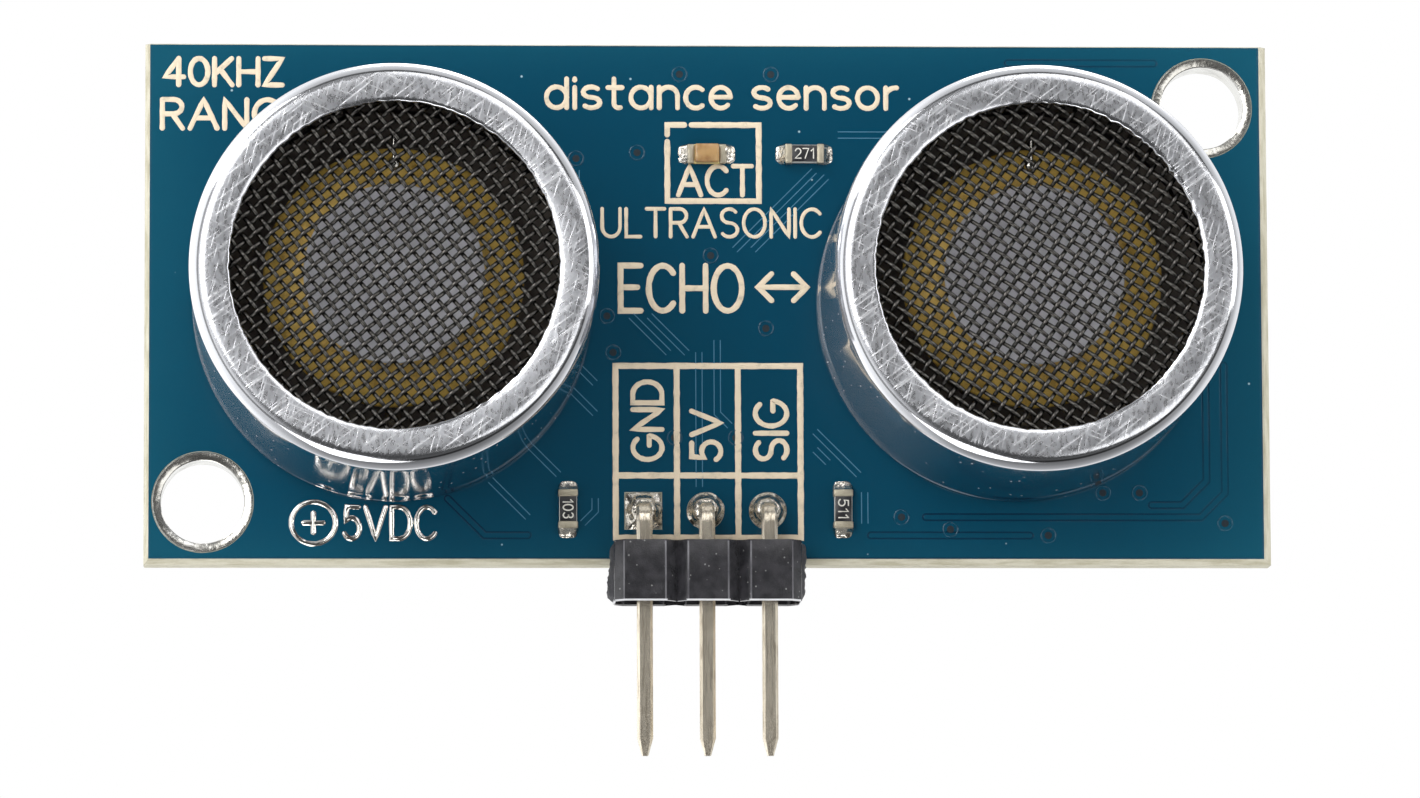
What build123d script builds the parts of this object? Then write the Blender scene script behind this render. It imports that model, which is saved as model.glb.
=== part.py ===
from build123d import *
import os

os.makedirs("parts", exist_ok=True)

# Ultrasonic distance sensor: two round capsules on an upright circuit board with a bent pin header.
# Frame: +X to the right and +Z up as seen from the front, -Y out of the front. The origin is the
# middle of the two mounting holes, on the board's front face. All sizes are in millimetres.

# --- Circuit board ---
board_width = 46.0
board_height = 21.4
board_thick = 1.6
board_shift = 0.14  # the outline is cut this far to the right of everything mounted on it
score_bevel = 0.22  # bevel left by the score groove on the sides and the bottom
copper_thick = 0.05  # lands and barrels
hole_radius = 1.7  # open bore of a mounting hole
hole_land = 0.35  # width of the tinned ring around it
hole_inset_x = 2.53
hole_inset_z = 2.55

# --- Pin header ---
pin_pitch = 2.54
pin_side = 0.64
pin_clearance = 0.05  # from the pin's corners to the barrel
pin_land = 0.22
pin_rear_land = 0.3
pin_row_inset = 2.2  # from the board's lower edge up to the row of header holes
pin_drop = 10.1  # from the row of holes down to the pin tips
pin_rear_reach = 1.4  # behind the board
pin_bend = 0.62  # bend radius at the middle of the pin
pin_point = 0.7
pin_point_depth = 0.19
housing_depth = 2.54
housing_height = 2.5
housing_drop = 1.4  # from the row of holes down to the housing
cell_chamfer = 0.42
snap_stub = 0.16  # rough nib where the strip was snapped off
snap_stub_width = 1.2
solder_front_rise = 0.42
solder_rear_rise = 0.85
solder_tip_gap = 0.16  # solder left around the pin at the top of each joint
solder_front_arc = 0.45
solder_rear_arc = 1.2

# --- Ultrasonic capsules ---
capsule_gap = 9.3  # between the two cans
can_diameter = 16.2
can_height = 12.0
can_wall = 0.5
can_rim = 1.6  # width of the lip around the front opening
can_round = 0.8
can_lift = 0.2  # gap between the can's open end and the board
glue_gap = 0.05
screen_thick = 0.35
base_thick = 2.0
hub_inset = 0.6  # inside the plate's edge
hub_wall = 1.3
hub_slot_width = 1.0
hub_slot_depth = 1.9
plate_radius = 5.2
plate_thick = 0.3
plate_depth = 3.95  # from the can's front down to the plate
ring_width = 0.9
ring_height = 0.85
crystal_thick = 0.35
crystal_gap = 0.25
cone_inset = 1.6  # inside the plate's edge
cone_throat_radius = 0.8
cone_height = 1.15
cone_wall = 0.12
terminal_pitch = 10.0
terminal_radius = 0.35
terminal_top = 1.0  # above the base, inside the can
terminal_reach = 2.4  # behind the board
terminal_clearance = 0.15
terminal_land = 0.5
terminal_solder_rise = 1.1
terminal_solder_arc = 1.6
wire_radius = 0.08
wire_bow = 0.55  # how far the upper wire stands outside the plate
wire_joint_radius = 0.32
wire_joint_rise = 0.22

# --- Small surface parts ---
chip_length = 1.6
chip_width = 0.8
chip_height = 0.45
chip_end = 0.3
chip_skin = 0.04
led_base_height = 0.25
led_lens_height = 0.38
led_lens_round = 0.08
fillet_toe = 0.38
fillet_rise = 0.34
led_place_x = 0.1
led_inset_z = 4.52  # from the board's upper edge
led_to_resistor = 4.0
header_to_resistor = 1.8  # from the end of the housing to the resistor beside it
front_resistor_lift = 0.05

# --- Rear parts ---
controller = dict(length=7.2, body_width=5.3, height=1.6, span=7.8, lead_width=0.3)
controller_pitch = 0.65
controller_place = (0, 1.2)
amplifier = dict(length=8.65, body_width=3.9, height=1.5, span=6.0, lead_width=0.42)
driver = dict(length=4.9, body_width=3.9, height=1.5, span=6.0, lead_width=0.42)
small_outline_pitch = 1.27
transistor = dict(length=2.9, body_width=1.3, height=1.0, span=2.6, lead_width=0.4)
transistor_pitch = 1.9
transistor_mark_inset = 0.4
transistor_place = (7.4, 6.6)
lead_thick = 0.2
lead_bend = 0.16
lead_entry = 0.3
body_draft = 8
body_lift = 0.12
mark_radius = 0.3
mark_depth = 0.08
mark_inset = 0.75
resonator_length = 4.5
resonator_width = 2.0
resonator_base_height = 0.5
resonator_cap_height = 0.7
resonator_cap_step = 0.2
resonator_strap = 0.6
strap_thick = 0.05
resonator_inset_z = 3.0
smoothing_length = 3.5
smoothing_width = 2.8
smoothing_height = 1.9
smoothing_bevel = 0.18
tab_width = 2.2
tab_reach = 0.8
tab_thick = 0.12
smoothing_place = (-7.6, 6.6)
capacitor_column = 6.7
resistor_column = 18.6
rear_column_pitch = 2.9
row_above_header = 2.9
row_pitch = 2.3

# --- Places that follow from the sizes ---
capsule_spacing = can_diameter + capsule_gap
pin_drill = pin_side / 2**0.5 + pin_clearance
terminal_drill = terminal_radius + terminal_clearance
hole_x = board_width / 2 - hole_inset_x
hole_z = board_height / 2 - hole_inset_z
hole_spots = [(-hole_x, -hole_z), (hole_x, hole_z)]
pin_row = -board_height / 2 + pin_row_inset
pin_xs = [-pin_pitch, 0, pin_pitch]
pin_spots = [(x, pin_row) for x in pin_xs]
housing_top = pin_row - housing_drop
capsule_xs = {"transmitter": -capsule_spacing / 2, "receiver": capsule_spacing / 2}
capsule_spots = [(x, z) for x in capsule_xs.values() for z in (-terminal_pitch / 2, terminal_pitch / 2)]
can_bore = can_diameter / 2 - can_wall
can_opening = can_diameter - 2 * can_rim
hub_radius = plate_radius - hub_inset
cone_mouth_radius = plate_radius - cone_inset
led_row = board_height / 2 - led_inset_z


def layer(y):
    """Plane parallel to the board at depth y: local axes are +X and +Z, and it faces the front."""
    return Plane(origin=(0, y, 0), x_dir=(1, 0, 0), z_dir=(0, -1, 0))


def spot(x, z, turn=0):
    """A place on the board, with a turn in degrees about its normal."""
    return Location((x, z, 0), (0, 0, turn))


def finish(builder, name):
    """Label a finished piece and write its STEP file."""
    builder.part.label = name
    export_step(builder.part, f"parts/{name}.step")


def plated_holes(name, spots, bore, front_land, rear_land, square_spots=()):
    """Metal barrels through the board, each with a flat land on both faces."""
    with BuildPart() as plating:
        with BuildSketch(layer(0)):
            with Locations(*spots):
                Circle(bore + copper_thick)
        extrude(amount=-board_thick)
        with BuildSketch(layer(0)):
            with Locations(*spots):
                Circle(bore + front_land)
            if square_spots:
                with Locations(*square_spots):
                    Rectangle(2 * (bore + front_land), 2 * (bore + front_land))
        extrude(amount=copper_thick)
        with BuildSketch(layer(board_thick)):
            with Locations(*spots):
                Circle(bore + rear_land)
        extrude(amount=-copper_thick)
        with BuildSketch(layer(-copper_thick)):
            with Locations(*spots):
                Circle(bore)
        extrude(amount=-(board_thick + 2 * copper_thick), mode=Mode.SUBTRACT)
    finish(plating, name)


# ---------------------------------------------------------------- board
with BuildPart() as circuit_board:
    with BuildSketch(layer(0)):
        with Locations((board_shift, 0)):
            Rectangle(board_width, board_height)
        with Locations(*hole_spots):
            Circle(hole_radius + copper_thick, mode=Mode.SUBTRACT)
        with Locations(*pin_spots):
            Circle(pin_drill + copper_thick, mode=Mode.SUBTRACT)
        with Locations(*capsule_spots):
            Circle(terminal_drill + copper_thick, mode=Mode.SUBTRACT)
    extrude(amount=-board_thick)
    uprights = circuit_board.edges().filter_by(Axis.Z).group_by(Axis.X)
    lower = circuit_board.edges().filter_by(Axis.X).group_by(Axis.Z)[0]
    chamfer(uprights[0] + uprights[-1] + lower, length=score_bevel)
finish(circuit_board, "circuit_board")

plated_holes("mounting_eyelets", hole_spots, hole_radius, hole_land, hole_land)
plated_holes("header_pads", pin_spots, pin_drill, pin_land, pin_rear_land, [pin_spots[0]])
plated_holes("capsule_pads", capsule_spots, terminal_drill, terminal_land, terminal_land)


# ---------------------------------------------------------------- pin header
pin_y = -housing_depth / 2


def build_pin(x, name):
    """A square pin that leaves the board forwards, bends down and ends in a blunt point."""
    with BuildPart() as pin:
        with BuildSketch(Plane.YZ.offset(x)):
            with BuildLine():
                FilletPolyline(
                    (board_thick + pin_rear_reach, pin_row),
                    (pin_y, pin_row),
                    (pin_y, pin_row - pin_drop),
                    radius=pin_bend,
                )
            trace(line_width=pin_side)
        extrude(amount=pin_side / 2, both=True)
        for end in (pin.faces().sort_by(Axis.Z)[0], pin.faces().sort_by(Axis.Y)[-1]):
            chamfer(end.edges(), length=pin_point_depth, length2=pin_point, reference=end)
    finish(pin, name)


for pin_x, pin_name in zip(pin_xs, ("ground_pin", "supply_pin", "signal_pin")):
    build_pin(pin_x, pin_name)

with BuildPart() as header_housing:
    with BuildSketch(Plane.XY.offset(housing_top)):
        for x in pin_xs:
            with BuildSketch(mode=Mode.PRIVATE) as cell:
                with Locations((x, pin_y)):
                    Rectangle(pin_pitch, housing_depth)
                chamfer(cell.vertices(), length=cell_chamfer)
            add(cell.sketch)
    extrude(amount=-housing_height)
    with BuildSketch(Plane.XY.offset(housing_top)):
        with Locations((0, pin_y)):
            Rectangle(len(pin_xs) * pin_pitch + 2 * snap_stub, snap_stub_width)
    extrude(amount=-housing_height)
    with BuildSketch(Plane.XY.offset(housing_top)):
        with Locations(*[(x, pin_y) for x in pin_xs]):
            Rectangle(pin_side, pin_side)
    extrude(amount=-housing_height, mode=Mode.SUBTRACT)
finish(header_housing, "header_housing")

tip = pin_side / 2 + solder_tip_gap
front_edge = pin_drill + pin_land
rear_edge = pin_drill + pin_rear_land
front_y = -copper_thick
rear_y = board_thick + copper_thick
with BuildPart() as header_solder:
    for x in pin_xs:
        with BuildSketch(Plane.XY.offset(pin_row)):
            with BuildLine():
                Line((x, front_y - solder_front_rise), (x + tip, front_y - solder_front_rise))
                RadiusArc((x + tip, front_y - solder_front_rise), (x + front_edge, front_y), -solder_front_arc)
                Polyline(
                    (x + front_edge, front_y),
                    (x + pin_drill, front_y),
                    (x + pin_drill, rear_y),
                    (x + rear_edge, rear_y),
                )
                RadiusArc((x + rear_edge, rear_y), (x + tip, rear_y + solder_rear_rise), solder_rear_arc)
                Polyline(
                    (x + tip, rear_y + solder_rear_rise),
                    (x, rear_y + solder_rear_rise),
                    (x, front_y - solder_front_rise),
                )
            make_face()
        revolve(axis=Axis((x, 0, pin_row), (0, 1, 0)))
    with BuildSketch(layer(-housing_depth)):
        with Locations(*pin_spots):
            Rectangle(pin_side, pin_side)
    extrude(amount=-(2 * housing_depth + board_thick), mode=Mode.SUBTRACT)
finish(header_solder, "header_solder")


# ---------------------------------------------------------------- capsules
can_front = -can_height
plate_front = can_front + plate_depth
plate_back = plate_front + plate_thick
crystal_back = plate_back + crystal_thick
ring_back = plate_back + ring_height
base_back = -copper_thick
base_front = base_back - base_thick
terminal_front = base_front - terminal_top
ring_radius = hub_radius - (hub_wall - ring_width) / 2
crystal_radius = ring_radius - ring_width - crystal_gap


def turned(x, outline, name):
    """A ring-shaped piece: its outline, as radius and depth, turned about the capsule's axis."""
    with BuildPart() as piece:
        with BuildSketch(Plane(origin=(x, 0, 0))):
            with BuildLine():
                Polyline(*outline, close=True)
            make_face()
        revolve(axis=Axis((x, 0, 0), (0, 1, 0)))
    finish(piece, name)


def build_can(x, name):
    """Drawn aluminium can: open at the board, with a lip around its front opening."""
    with BuildPart() as can:
        with BuildSketch(Plane(origin=(x, 0, 0))):
            with BuildLine():
                Polyline(
                    (can_diameter / 2 - can_round, can_front),
                    (can_opening / 2, can_front),
                    (can_opening / 2, can_front + can_wall),
                    (can_bore, can_front + can_wall),
                    (can_bore, -can_lift),
                    (can_diameter / 2, -can_lift),
                    (can_diameter / 2, can_front + can_round),
                )
                RadiusArc(
                    (can_diameter / 2, can_front + can_round),
                    (can_diameter / 2 - can_round, can_front),
                    can_round,
                )
            make_face()
        revolve(axis=Axis((x, 0, 0), (0, 1, 0)))
    finish(can, name)


def build_base(x, name):
    """Moulded base: a disc that closes the can, with a slotted hub and two terminal holes."""
    with BuildPart() as base:
        with BuildSketch(layer(base_back)):
            with Locations((x, 0)):
                Circle(can_bore - glue_gap)
        extrude(amount=base_thick)
        with BuildSketch(layer(base_front)):
            with Locations((x, 0)):
                Circle(hub_radius)
                Circle(hub_radius - hub_wall, mode=Mode.SUBTRACT)
        extrude(amount=base_front - ring_back)
        with BuildSketch(layer(ring_back)):
            with Locations((x, -hub_radius)):
                Rectangle(hub_slot_width, 2 * hub_wall)
        extrude(amount=-hub_slot_depth, mode=Mode.SUBTRACT)
        with BuildSketch(layer(base_back)):
            with Locations((x, -terminal_pitch / 2), (x, terminal_pitch / 2)):
                Circle(terminal_radius)
        extrude(amount=base_thick, mode=Mode.SUBTRACT)
    finish(base, name)


def build_terminals(x, name):
    """The capsule's two round terminals, through the base and the board."""
    with BuildPart() as terminals:
        with BuildSketch(layer(terminal_front)):
            with Locations((x, -terminal_pitch / 2), (x, terminal_pitch / 2)):
                Circle(terminal_radius)
        extrude(amount=-(board_thick + terminal_reach - terminal_front))
        ends = terminals.edges().group_by(Axis.Y)[-1]
        chamfer(ends, length=terminal_radius / 3)
    finish(terminals, name)


def build_terminal_solder(x, name):
    """Solder that fills each terminal's barrel and rises in a cone behind the board."""
    rear_y = board_thick + copper_thick
    edge = terminal_drill + terminal_land
    tip = terminal_radius + solder_tip_gap
    with BuildPart() as solder:
        for z in (-terminal_pitch / 2, terminal_pitch / 2):
            with BuildSketch(Plane.XY.offset(z)):
                with BuildLine():
                    Polyline(
                        (x + tip, rear_y + terminal_solder_rise),
                        (x + terminal_radius, rear_y + terminal_solder_rise),
                        (x + terminal_radius, base_back),
                        (x + terminal_drill, base_back),
                        (x + terminal_drill, rear_y),
                        (x + edge, rear_y),
                    )
                    RadiusArc(
                        (x + edge, rear_y),
                        (x + tip, rear_y + terminal_solder_rise),
                        terminal_solder_arc,
                    )
                make_face()
            revolve(axis=Axis((x, 0, z), (0, 1, 0)))
    finish(solder, name)


def build_wires(x, name):
    """Two fine wires: one over the plate's edge to its front, one up to the crystal's back."""
    top = terminal_pitch / 2
    joint_z = plate_radius - 2 * wire_joint_radius
    joint_y = plate_front - wire_joint_rise / 2
    slot_y = ring_back + hub_slot_depth / 2
    upper = [
        (terminal_front, top),
        (terminal_front - terminal_top, plate_radius + wire_bow),
        (joint_y, plate_radius + wire_bow),
        (joint_y, joint_z),
    ]
    lower = [
        (terminal_front, -top),
        (slot_y, -top),
        (slot_y, -crystal_radius / 2),
        (crystal_back, -crystal_radius / 2),
    ]
    with BuildPart() as wires:
        for route in (upper, lower):
            with BuildLine(Plane.YZ.offset(x)) as path:
                FilletPolyline(*route, radius=wire_radius * 2.5)
            with BuildSketch(Plane(origin=path.line @ 0, z_dir=path.line % 0)):
                Circle(wire_radius)
            sweep(path=path.line)
        with BuildSketch(Plane.XY.offset(joint_z)):
            with BuildLine():
                Polyline(
                    (x, plate_front - wire_joint_rise),
                    (x, plate_front),
                    (x + wire_joint_radius, plate_front),
                )
                ThreePointArc(
                    (x + wire_joint_radius, plate_front),
                    (x + wire_joint_radius * 0.75, plate_front - wire_joint_rise * 0.7),
                    (x, plate_front - wire_joint_rise),
                )
            make_face()
        revolve(axis=Axis((x, 0, joint_z), (0, 1, 0)))
    finish(wires, name)


for side, centre in capsule_xs.items():
    build_can(centre, f"{side}_can")
    screen_front = can_front + can_wall
    turned(
        centre,
        [
            (0, screen_front),
            (can_bore - glue_gap, screen_front),
            (can_bore - glue_gap, screen_front + screen_thick),
            (0, screen_front + screen_thick),
        ],
        f"{side}_screen",
    )
    build_base(centre, f"{side}_base")
    turned(
        centre,
        [
            (ring_radius - ring_width, plate_back),
            (ring_radius, plate_back),
            (ring_radius, ring_back),
            (ring_radius - ring_width, ring_back),
        ],
        f"{side}_mount_ring",
    )
    turned(
        centre,
        [
            (0, plate_front),
            (plate_radius, plate_front),
            (plate_radius, plate_back),
            (0, plate_back),
        ],
        f"{side}_plate",
    )
    turned(
        centre,
        [
            (0, plate_back),
            (crystal_radius, plate_back),
            (crystal_radius, crystal_back),
            (0, crystal_back),
        ],
        f"{side}_crystal",
    )
    turned(
        centre,
        [
            (0, plate_front),
            (cone_throat_radius, plate_front),
            (cone_mouth_radius, plate_front - cone_height),
            (cone_mouth_radius - cone_wall, plate_front - cone_height),
            (cone_throat_radius - cone_wall, plate_front - cone_wall),
            (0, plate_front - cone_wall),
        ],
        f"{side}_cone",
    )
    build_terminals(centre, f"{side}_terminals")
    build_wires(centre, f"{side}_lead_wires")
    build_terminal_solder(centre, f"{side}_solder")


# ---------------------------------------------------------------- chip resistors, capacitors, LED
FRONT = 1  # heights grow towards -Y
REAR = -1  # heights grow towards +Y


def face_of(way):
    """Depth of the board face that parts stand on."""
    return 0 if way == FRONT else board_thick


def wrapped_ends(spots, way, height, body):
    """Metal ends wrapped around the bodies of chip parts."""
    offset = (chip_length - chip_end) / 2
    with BuildPart() as ends:
        with BuildSketch(layer(face_of(way))):
            with Locations(*spots):
                with Locations((-offset, 0), (offset, 0)):
                    Rectangle(chip_end, chip_width)
        extrude(amount=way * height)
        add(body, mode=Mode.SUBTRACT)
    return ends


def chip_parts(name, ends_name, spots, way, height=chip_height):
    """Rectangular chip parts: ceramic bodies and their wrapped metal ends."""
    with BuildPart() as bodies:
        with BuildSketch(layer(face_of(way) - way * chip_skin)):
            with Locations(*spots):
                Rectangle(chip_length - 2 * chip_skin, chip_width - 2 * chip_skin)
        extrude(amount=way * (height - 2 * chip_skin))
    finish(bodies, name)
    finish(wrapped_ends(spots, way, height, bodies.part), ends_name)


def chip_solder(name, spots, way):
    """Solder fillets at both ends of chip parts."""
    planes = []
    for place in spots:
        for end in (-1, 1):
            at = Plane(layer(face_of(way)).location * place)
            along = at.x_dir * end
            up = at.z_dir * way
            foot = at.origin + along * (chip_length / 2)
            planes.append(Plane(origin=foot, x_dir=along, z_dir=along.cross(up)))
    with BuildPart() as solder:
        with BuildSketch(*planes):
            with BuildLine():
                Polyline((0, fillet_rise), (0, 0), (fillet_toe, 0))
                ThreePointArc((fillet_toe, 0), (fillet_toe / 3, fillet_rise / 3), (0, fillet_rise))
            make_face()
        extrude(amount=chip_width / 2, both=True)
    finish(solder, name)


led_spot = spot(led_place_x, led_row)
led_resistor_spot = spot(led_place_x + led_to_resistor, led_row)
beside_header = len(pin_xs) * pin_pitch / 2 + header_to_resistor
bias_spot = spot(-beside_header, pin_row + front_resistor_lift, 90)
signal_spot = spot(beside_header, pin_row + front_resistor_lift, 90)

with BuildPart() as activity_led_base:
    with BuildSketch(layer(-chip_skin)):
        with Locations(led_spot):
            Rectangle(chip_length - 2 * chip_skin, chip_width)
    extrude(amount=led_base_height - chip_skin)
finish(activity_led_base, "activity_led_base")

with BuildPart() as activity_led_lens:
    with BuildSketch(layer(-led_base_height)):
        with Locations(led_spot):
            Rectangle(chip_length - 2 * chip_end, chip_width)
    extrude(amount=led_lens_height)
    fillet(activity_led_lens.faces().sort_by(Axis.Y)[0].edges(), radius=led_lens_round)
finish(activity_led_lens, "activity_led_lens")

led_ends = wrapped_ends([led_spot], FRONT, led_base_height + chip_skin, activity_led_base.part)
finish(led_ends, "activity_led_ends")

chip_parts("led_resistor", "led_resistor_ends", [led_resistor_spot], FRONT)
chip_parts("bias_resistor", "bias_resistor_ends", [bias_spot], FRONT)
chip_parts("signal_resistor", "signal_resistor_ends", [signal_spot], FRONT)
chip_solder("front_solder", [led_spot, led_resistor_spot, bias_spot, signal_spot], FRONT)

header_row = [spot(x * row_pitch, pin_row + row_above_header, 90) for x in (-1.5, -0.5, 0.5, 1.5)]
column = (-rear_column_pitch, 0, rear_column_pitch)
capacitor_spots = [spot(x, z, 90) for x in (-capacitor_column, capacitor_column) for z in column]
resistor_spots = [spot(x, z, 90) for x in (-resistor_column, resistor_column) for z in column]
chip_parts("rear_capacitors", "rear_capacitor_ends", capacitor_spots, REAR, chip_width)
chip_parts("rear_resistors", "rear_resistor_ends", resistor_spots + header_row, REAR)
chip_solder("rear_solder", capacitor_spots + resistor_spots + header_row, REAR)


# ---------------------------------------------------------------- rear chips
def gull_leads(name, place, body_width, height, span, width, sides):
    """Gull-wing leads of a chip: sides gives the offsets of the leads on its two long sides."""
    at = Plane(layer(board_thick).location * place)
    up = at.z_dir * REAR
    planes = []
    for side, offsets in zip((-1, 1), sides):
        out = at.y_dir * side
        for offset in offsets:
            foot = at.origin + at.x_dir * offset
            planes.append(Plane(origin=foot, x_dir=out, z_dir=out.cross(up)))
    middle = body_lift + height / 2
    shoulder = body_width / 2 + lead_thick
    toe_start = shoulder + lead_thick
    with BuildPart() as leads:
        with BuildSketch(*planes):
            with BuildLine():
                FilletPolyline(
                    (body_width / 2 - lead_entry, middle),
                    (shoulder, middle),
                    (toe_start, lead_thick / 2),
                    (span / 2, lead_thick / 2),
                    radius=lead_bend,
                )
            trace(line_width=lead_thick)
        extrude(amount=width / 2, both=True)
    finish(leads, name)
    return leads


def chip(name, leads_name, place, length, body_width, height, span, lead_width, sides, inset=mark_inset):
    """A moulded chip: drafted body with a first-pin dimple, and gull-wing leads let into it."""
    leads = gull_leads(leads_name, place, body_width, height, span, lead_width, sides)
    middle_y = board_thick + body_lift + height / 2
    with BuildPart() as body:
        for way in (FRONT, REAR):
            with BuildSketch(layer(middle_y)):
                with Locations(place):
                    Rectangle(length, body_width)
            extrude(amount=way * height / 2, taper=body_draft)
        with BuildSketch(layer(middle_y + height / 2)):
            with Locations(place):
                with Locations((length / 2 - inset, body_width / 2 - inset)):
                    Circle(mark_radius)
        extrude(amount=mark_depth, mode=Mode.SUBTRACT)
        add(leads.part, mode=Mode.SUBTRACT)
    finish(body, name)


def lead_row(count, pitch):
    """Offsets of a row of leads about its middle."""
    return [(i - (count - 1) / 2) * pitch for i in range(count)]


controller_sides = [lead_row(10, controller_pitch)] * 2
amplifier_sides = [lead_row(7, small_outline_pitch)] * 2
driver_sides = [lead_row(4, small_outline_pitch)] * 2
transistor_sides = [lead_row(1, transistor_pitch), lead_row(2, transistor_pitch)]
chip("controller_chip", "controller_leads", spot(*controller_place, 90), sides=controller_sides,
     **controller)
chip("amplifier_chip", "amplifier_leads", spot(capsule_xs["receiver"], 0), sides=amplifier_sides,
     **amplifier)
chip("driver_chip", "driver_leads", spot(capsule_xs["transmitter"], 0), sides=driver_sides, **driver)
chip("switch_transistor", "switch_transistor_leads", spot(*transistor_place),
     sides=transistor_sides, inset=transistor_mark_inset, **transistor)


# ---------------------------------------------------------------- resonator, smoothing capacitor
resonator_spot = (0, board_height / 2 - resonator_inset_z)
with BuildPart() as resonator_base:
    with BuildSketch(layer(board_thick + strap_thick)):
        with Locations(resonator_spot):
            Rectangle(resonator_length, resonator_width)
    extrude(amount=-resonator_base_height)
finish(resonator_base, "resonator_base")

resonator_seat = board_thick + strap_thick + resonator_base_height
with BuildPart() as resonator_cap:
    with BuildSketch(layer(resonator_seat)):
        with Locations(resonator_spot):
            Rectangle(resonator_length - 2 * resonator_cap_step, resonator_width - 2 * resonator_cap_step)
    extrude(amount=-resonator_cap_height)
    outer = resonator_cap.faces().sort_by(Axis.Y)[-1].edges()
    fillet(outer, radius=resonator_cap_step)
finish(resonator_cap, "resonator_cap")

strap_reach = resonator_length / 2 - resonator_strap / 2
with BuildPart() as resonator_terminals:
    with BuildSketch(layer(board_thick)):
        with Locations(resonator_spot):
            with Locations((-strap_reach, 0), (0, 0), (strap_reach, 0)):
                Rectangle(resonator_strap, resonator_width + 2 * strap_thick)
    extrude(amount=-(strap_thick + resonator_base_height))
    add(resonator_base.part, mode=Mode.SUBTRACT)
finish(resonator_terminals, "resonator_terminals")

smoothing_spot = spot(*smoothing_place, 90)
tab_middle = (smoothing_length + tab_thick - tab_reach) / 2
with BuildPart() as smoothing_tabs:
    with BuildSketch(layer(board_thick)):
        with Locations(smoothing_spot):
            with Locations((-tab_middle, 0), (tab_middle, 0)):
                Rectangle(tab_reach + tab_thick, tab_width)
    extrude(amount=-(tab_thick + smoothing_height / 2))
    with BuildSketch(layer(board_thick + tab_thick)):
        with Locations(smoothing_spot):
            Rectangle(smoothing_length, smoothing_width)
    extrude(amount=-smoothing_height, mode=Mode.SUBTRACT)
finish(smoothing_tabs, "smoothing_capacitor_tabs")

with BuildPart() as smoothing_capacitor:
    with BuildSketch(layer(board_thick + tab_thick)):
        with Locations(smoothing_spot):
            Rectangle(smoothing_length, smoothing_width)
    extrude(amount=-smoothing_height)
    outer = smoothing_capacitor.faces().sort_by(Axis.Y)[-1]
    chamfer(outer.edges(), length=smoothing_bevel)
finish(smoothing_capacitor, "smoothing_capacitor")
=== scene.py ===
"""The looks of an ultrasonic distance sensor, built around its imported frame.

+X is right and +Z is up as seen from the front, and -Y comes out of the front. The origin is the middle of
the two mounting holes, on the board's front face. Mesh code works in millimetres and writes metres.
"""

import logging
import math
import random
from dataclasses import dataclass, field
from enum import Enum
from functools import lru_cache
from typing import Any, Callable, Iterable, Sequence

import bmesh
import bpy
from mathutils import Matrix, Vector, noise


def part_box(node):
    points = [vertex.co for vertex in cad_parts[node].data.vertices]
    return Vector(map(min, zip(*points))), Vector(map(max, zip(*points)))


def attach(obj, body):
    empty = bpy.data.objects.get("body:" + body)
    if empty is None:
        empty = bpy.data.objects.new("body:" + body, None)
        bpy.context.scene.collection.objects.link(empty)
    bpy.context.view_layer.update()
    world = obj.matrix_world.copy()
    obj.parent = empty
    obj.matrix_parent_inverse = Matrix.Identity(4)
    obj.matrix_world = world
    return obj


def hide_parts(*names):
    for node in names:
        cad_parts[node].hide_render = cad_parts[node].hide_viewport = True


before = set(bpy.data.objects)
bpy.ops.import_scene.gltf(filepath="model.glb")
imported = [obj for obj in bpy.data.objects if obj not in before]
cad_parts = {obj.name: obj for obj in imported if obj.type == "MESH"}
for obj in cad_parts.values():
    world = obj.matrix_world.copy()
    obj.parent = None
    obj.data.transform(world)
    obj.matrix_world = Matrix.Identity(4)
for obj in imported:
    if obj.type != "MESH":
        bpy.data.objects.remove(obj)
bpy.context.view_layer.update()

MM = 0.001
BODY = "root"
LOG = logging.getLogger("distance_sensor")

Flat = tuple[float, float]
Colour = tuple[float, float, float]


def linear(red: float, green: float, blue: float) -> Colour:
    """Returns the linear colour of a screen colour given as 0 to 255."""
    return tuple((c / 255 / 12.92) if c < 10.3 else ((c / 255 + 0.055) / 1.055) ** 2.4 for c in (red, green, blue))


@lru_cache(maxsize=None)
def box_mm(node: str) -> tuple[Vector, Vector]:
    """Returns the lowest and highest corners of a CAD node, in millimetres."""
    low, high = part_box(node)
    return low / MM, high / MM


class Face(Enum):
    """The two faces of the board, each with the sign of its outward direction along Y."""

    FRONT = -1
    REAR = 1


# ---------------------------------------------------------------- nodes


class Graph:
    """A node tree with one way to add a node."""

    def __init__(self, tree: bpy.types.NodeTree) -> None:
        """Starts on an empty tree."""
        self.tree = tree

    def feed(self, socket: bpy.types.NodeSocket, value: Any) -> None:
        """Links or sets one input socket.

        Args:
            socket: the input.
            value: a Value, another socket, or a plain number, colour or vector.
        """
        if isinstance(value, Value):
            value = value.socket
        if isinstance(value, bpy.types.NodeSocket):
            self.tree.links.new(value, socket)
        else:
            socket.default_value = value

    def node(
        self, kind: str, settings: dict[str, Any] | None = None, sockets: dict[Any, Any] | None = None
    ) -> bpy.types.Node:
        """Adds a node.

        Args:
            kind: the node's type.
            settings: its properties, which are set first.
            sockets: what its inputs are set or linked to, by name or number.

        Returns:
            The node.
        """
        made = self.tree.nodes.new(kind)
        for name, value in (settings or {}).items():
            setattr(made, name, value)
        for name, value in (sockets or {}).items():
            self.feed(made.inputs[name], value)
        return made

    def value(self, kind: str, settings: dict[str, Any] | None = None, sockets: dict[Any, Any] | None = None,
              output: Any = 0) -> "Value":
        """Adds a node and returns one of its outputs as a Value."""
        return Value(self, self.node(kind, settings, sockets).outputs[output])


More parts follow.
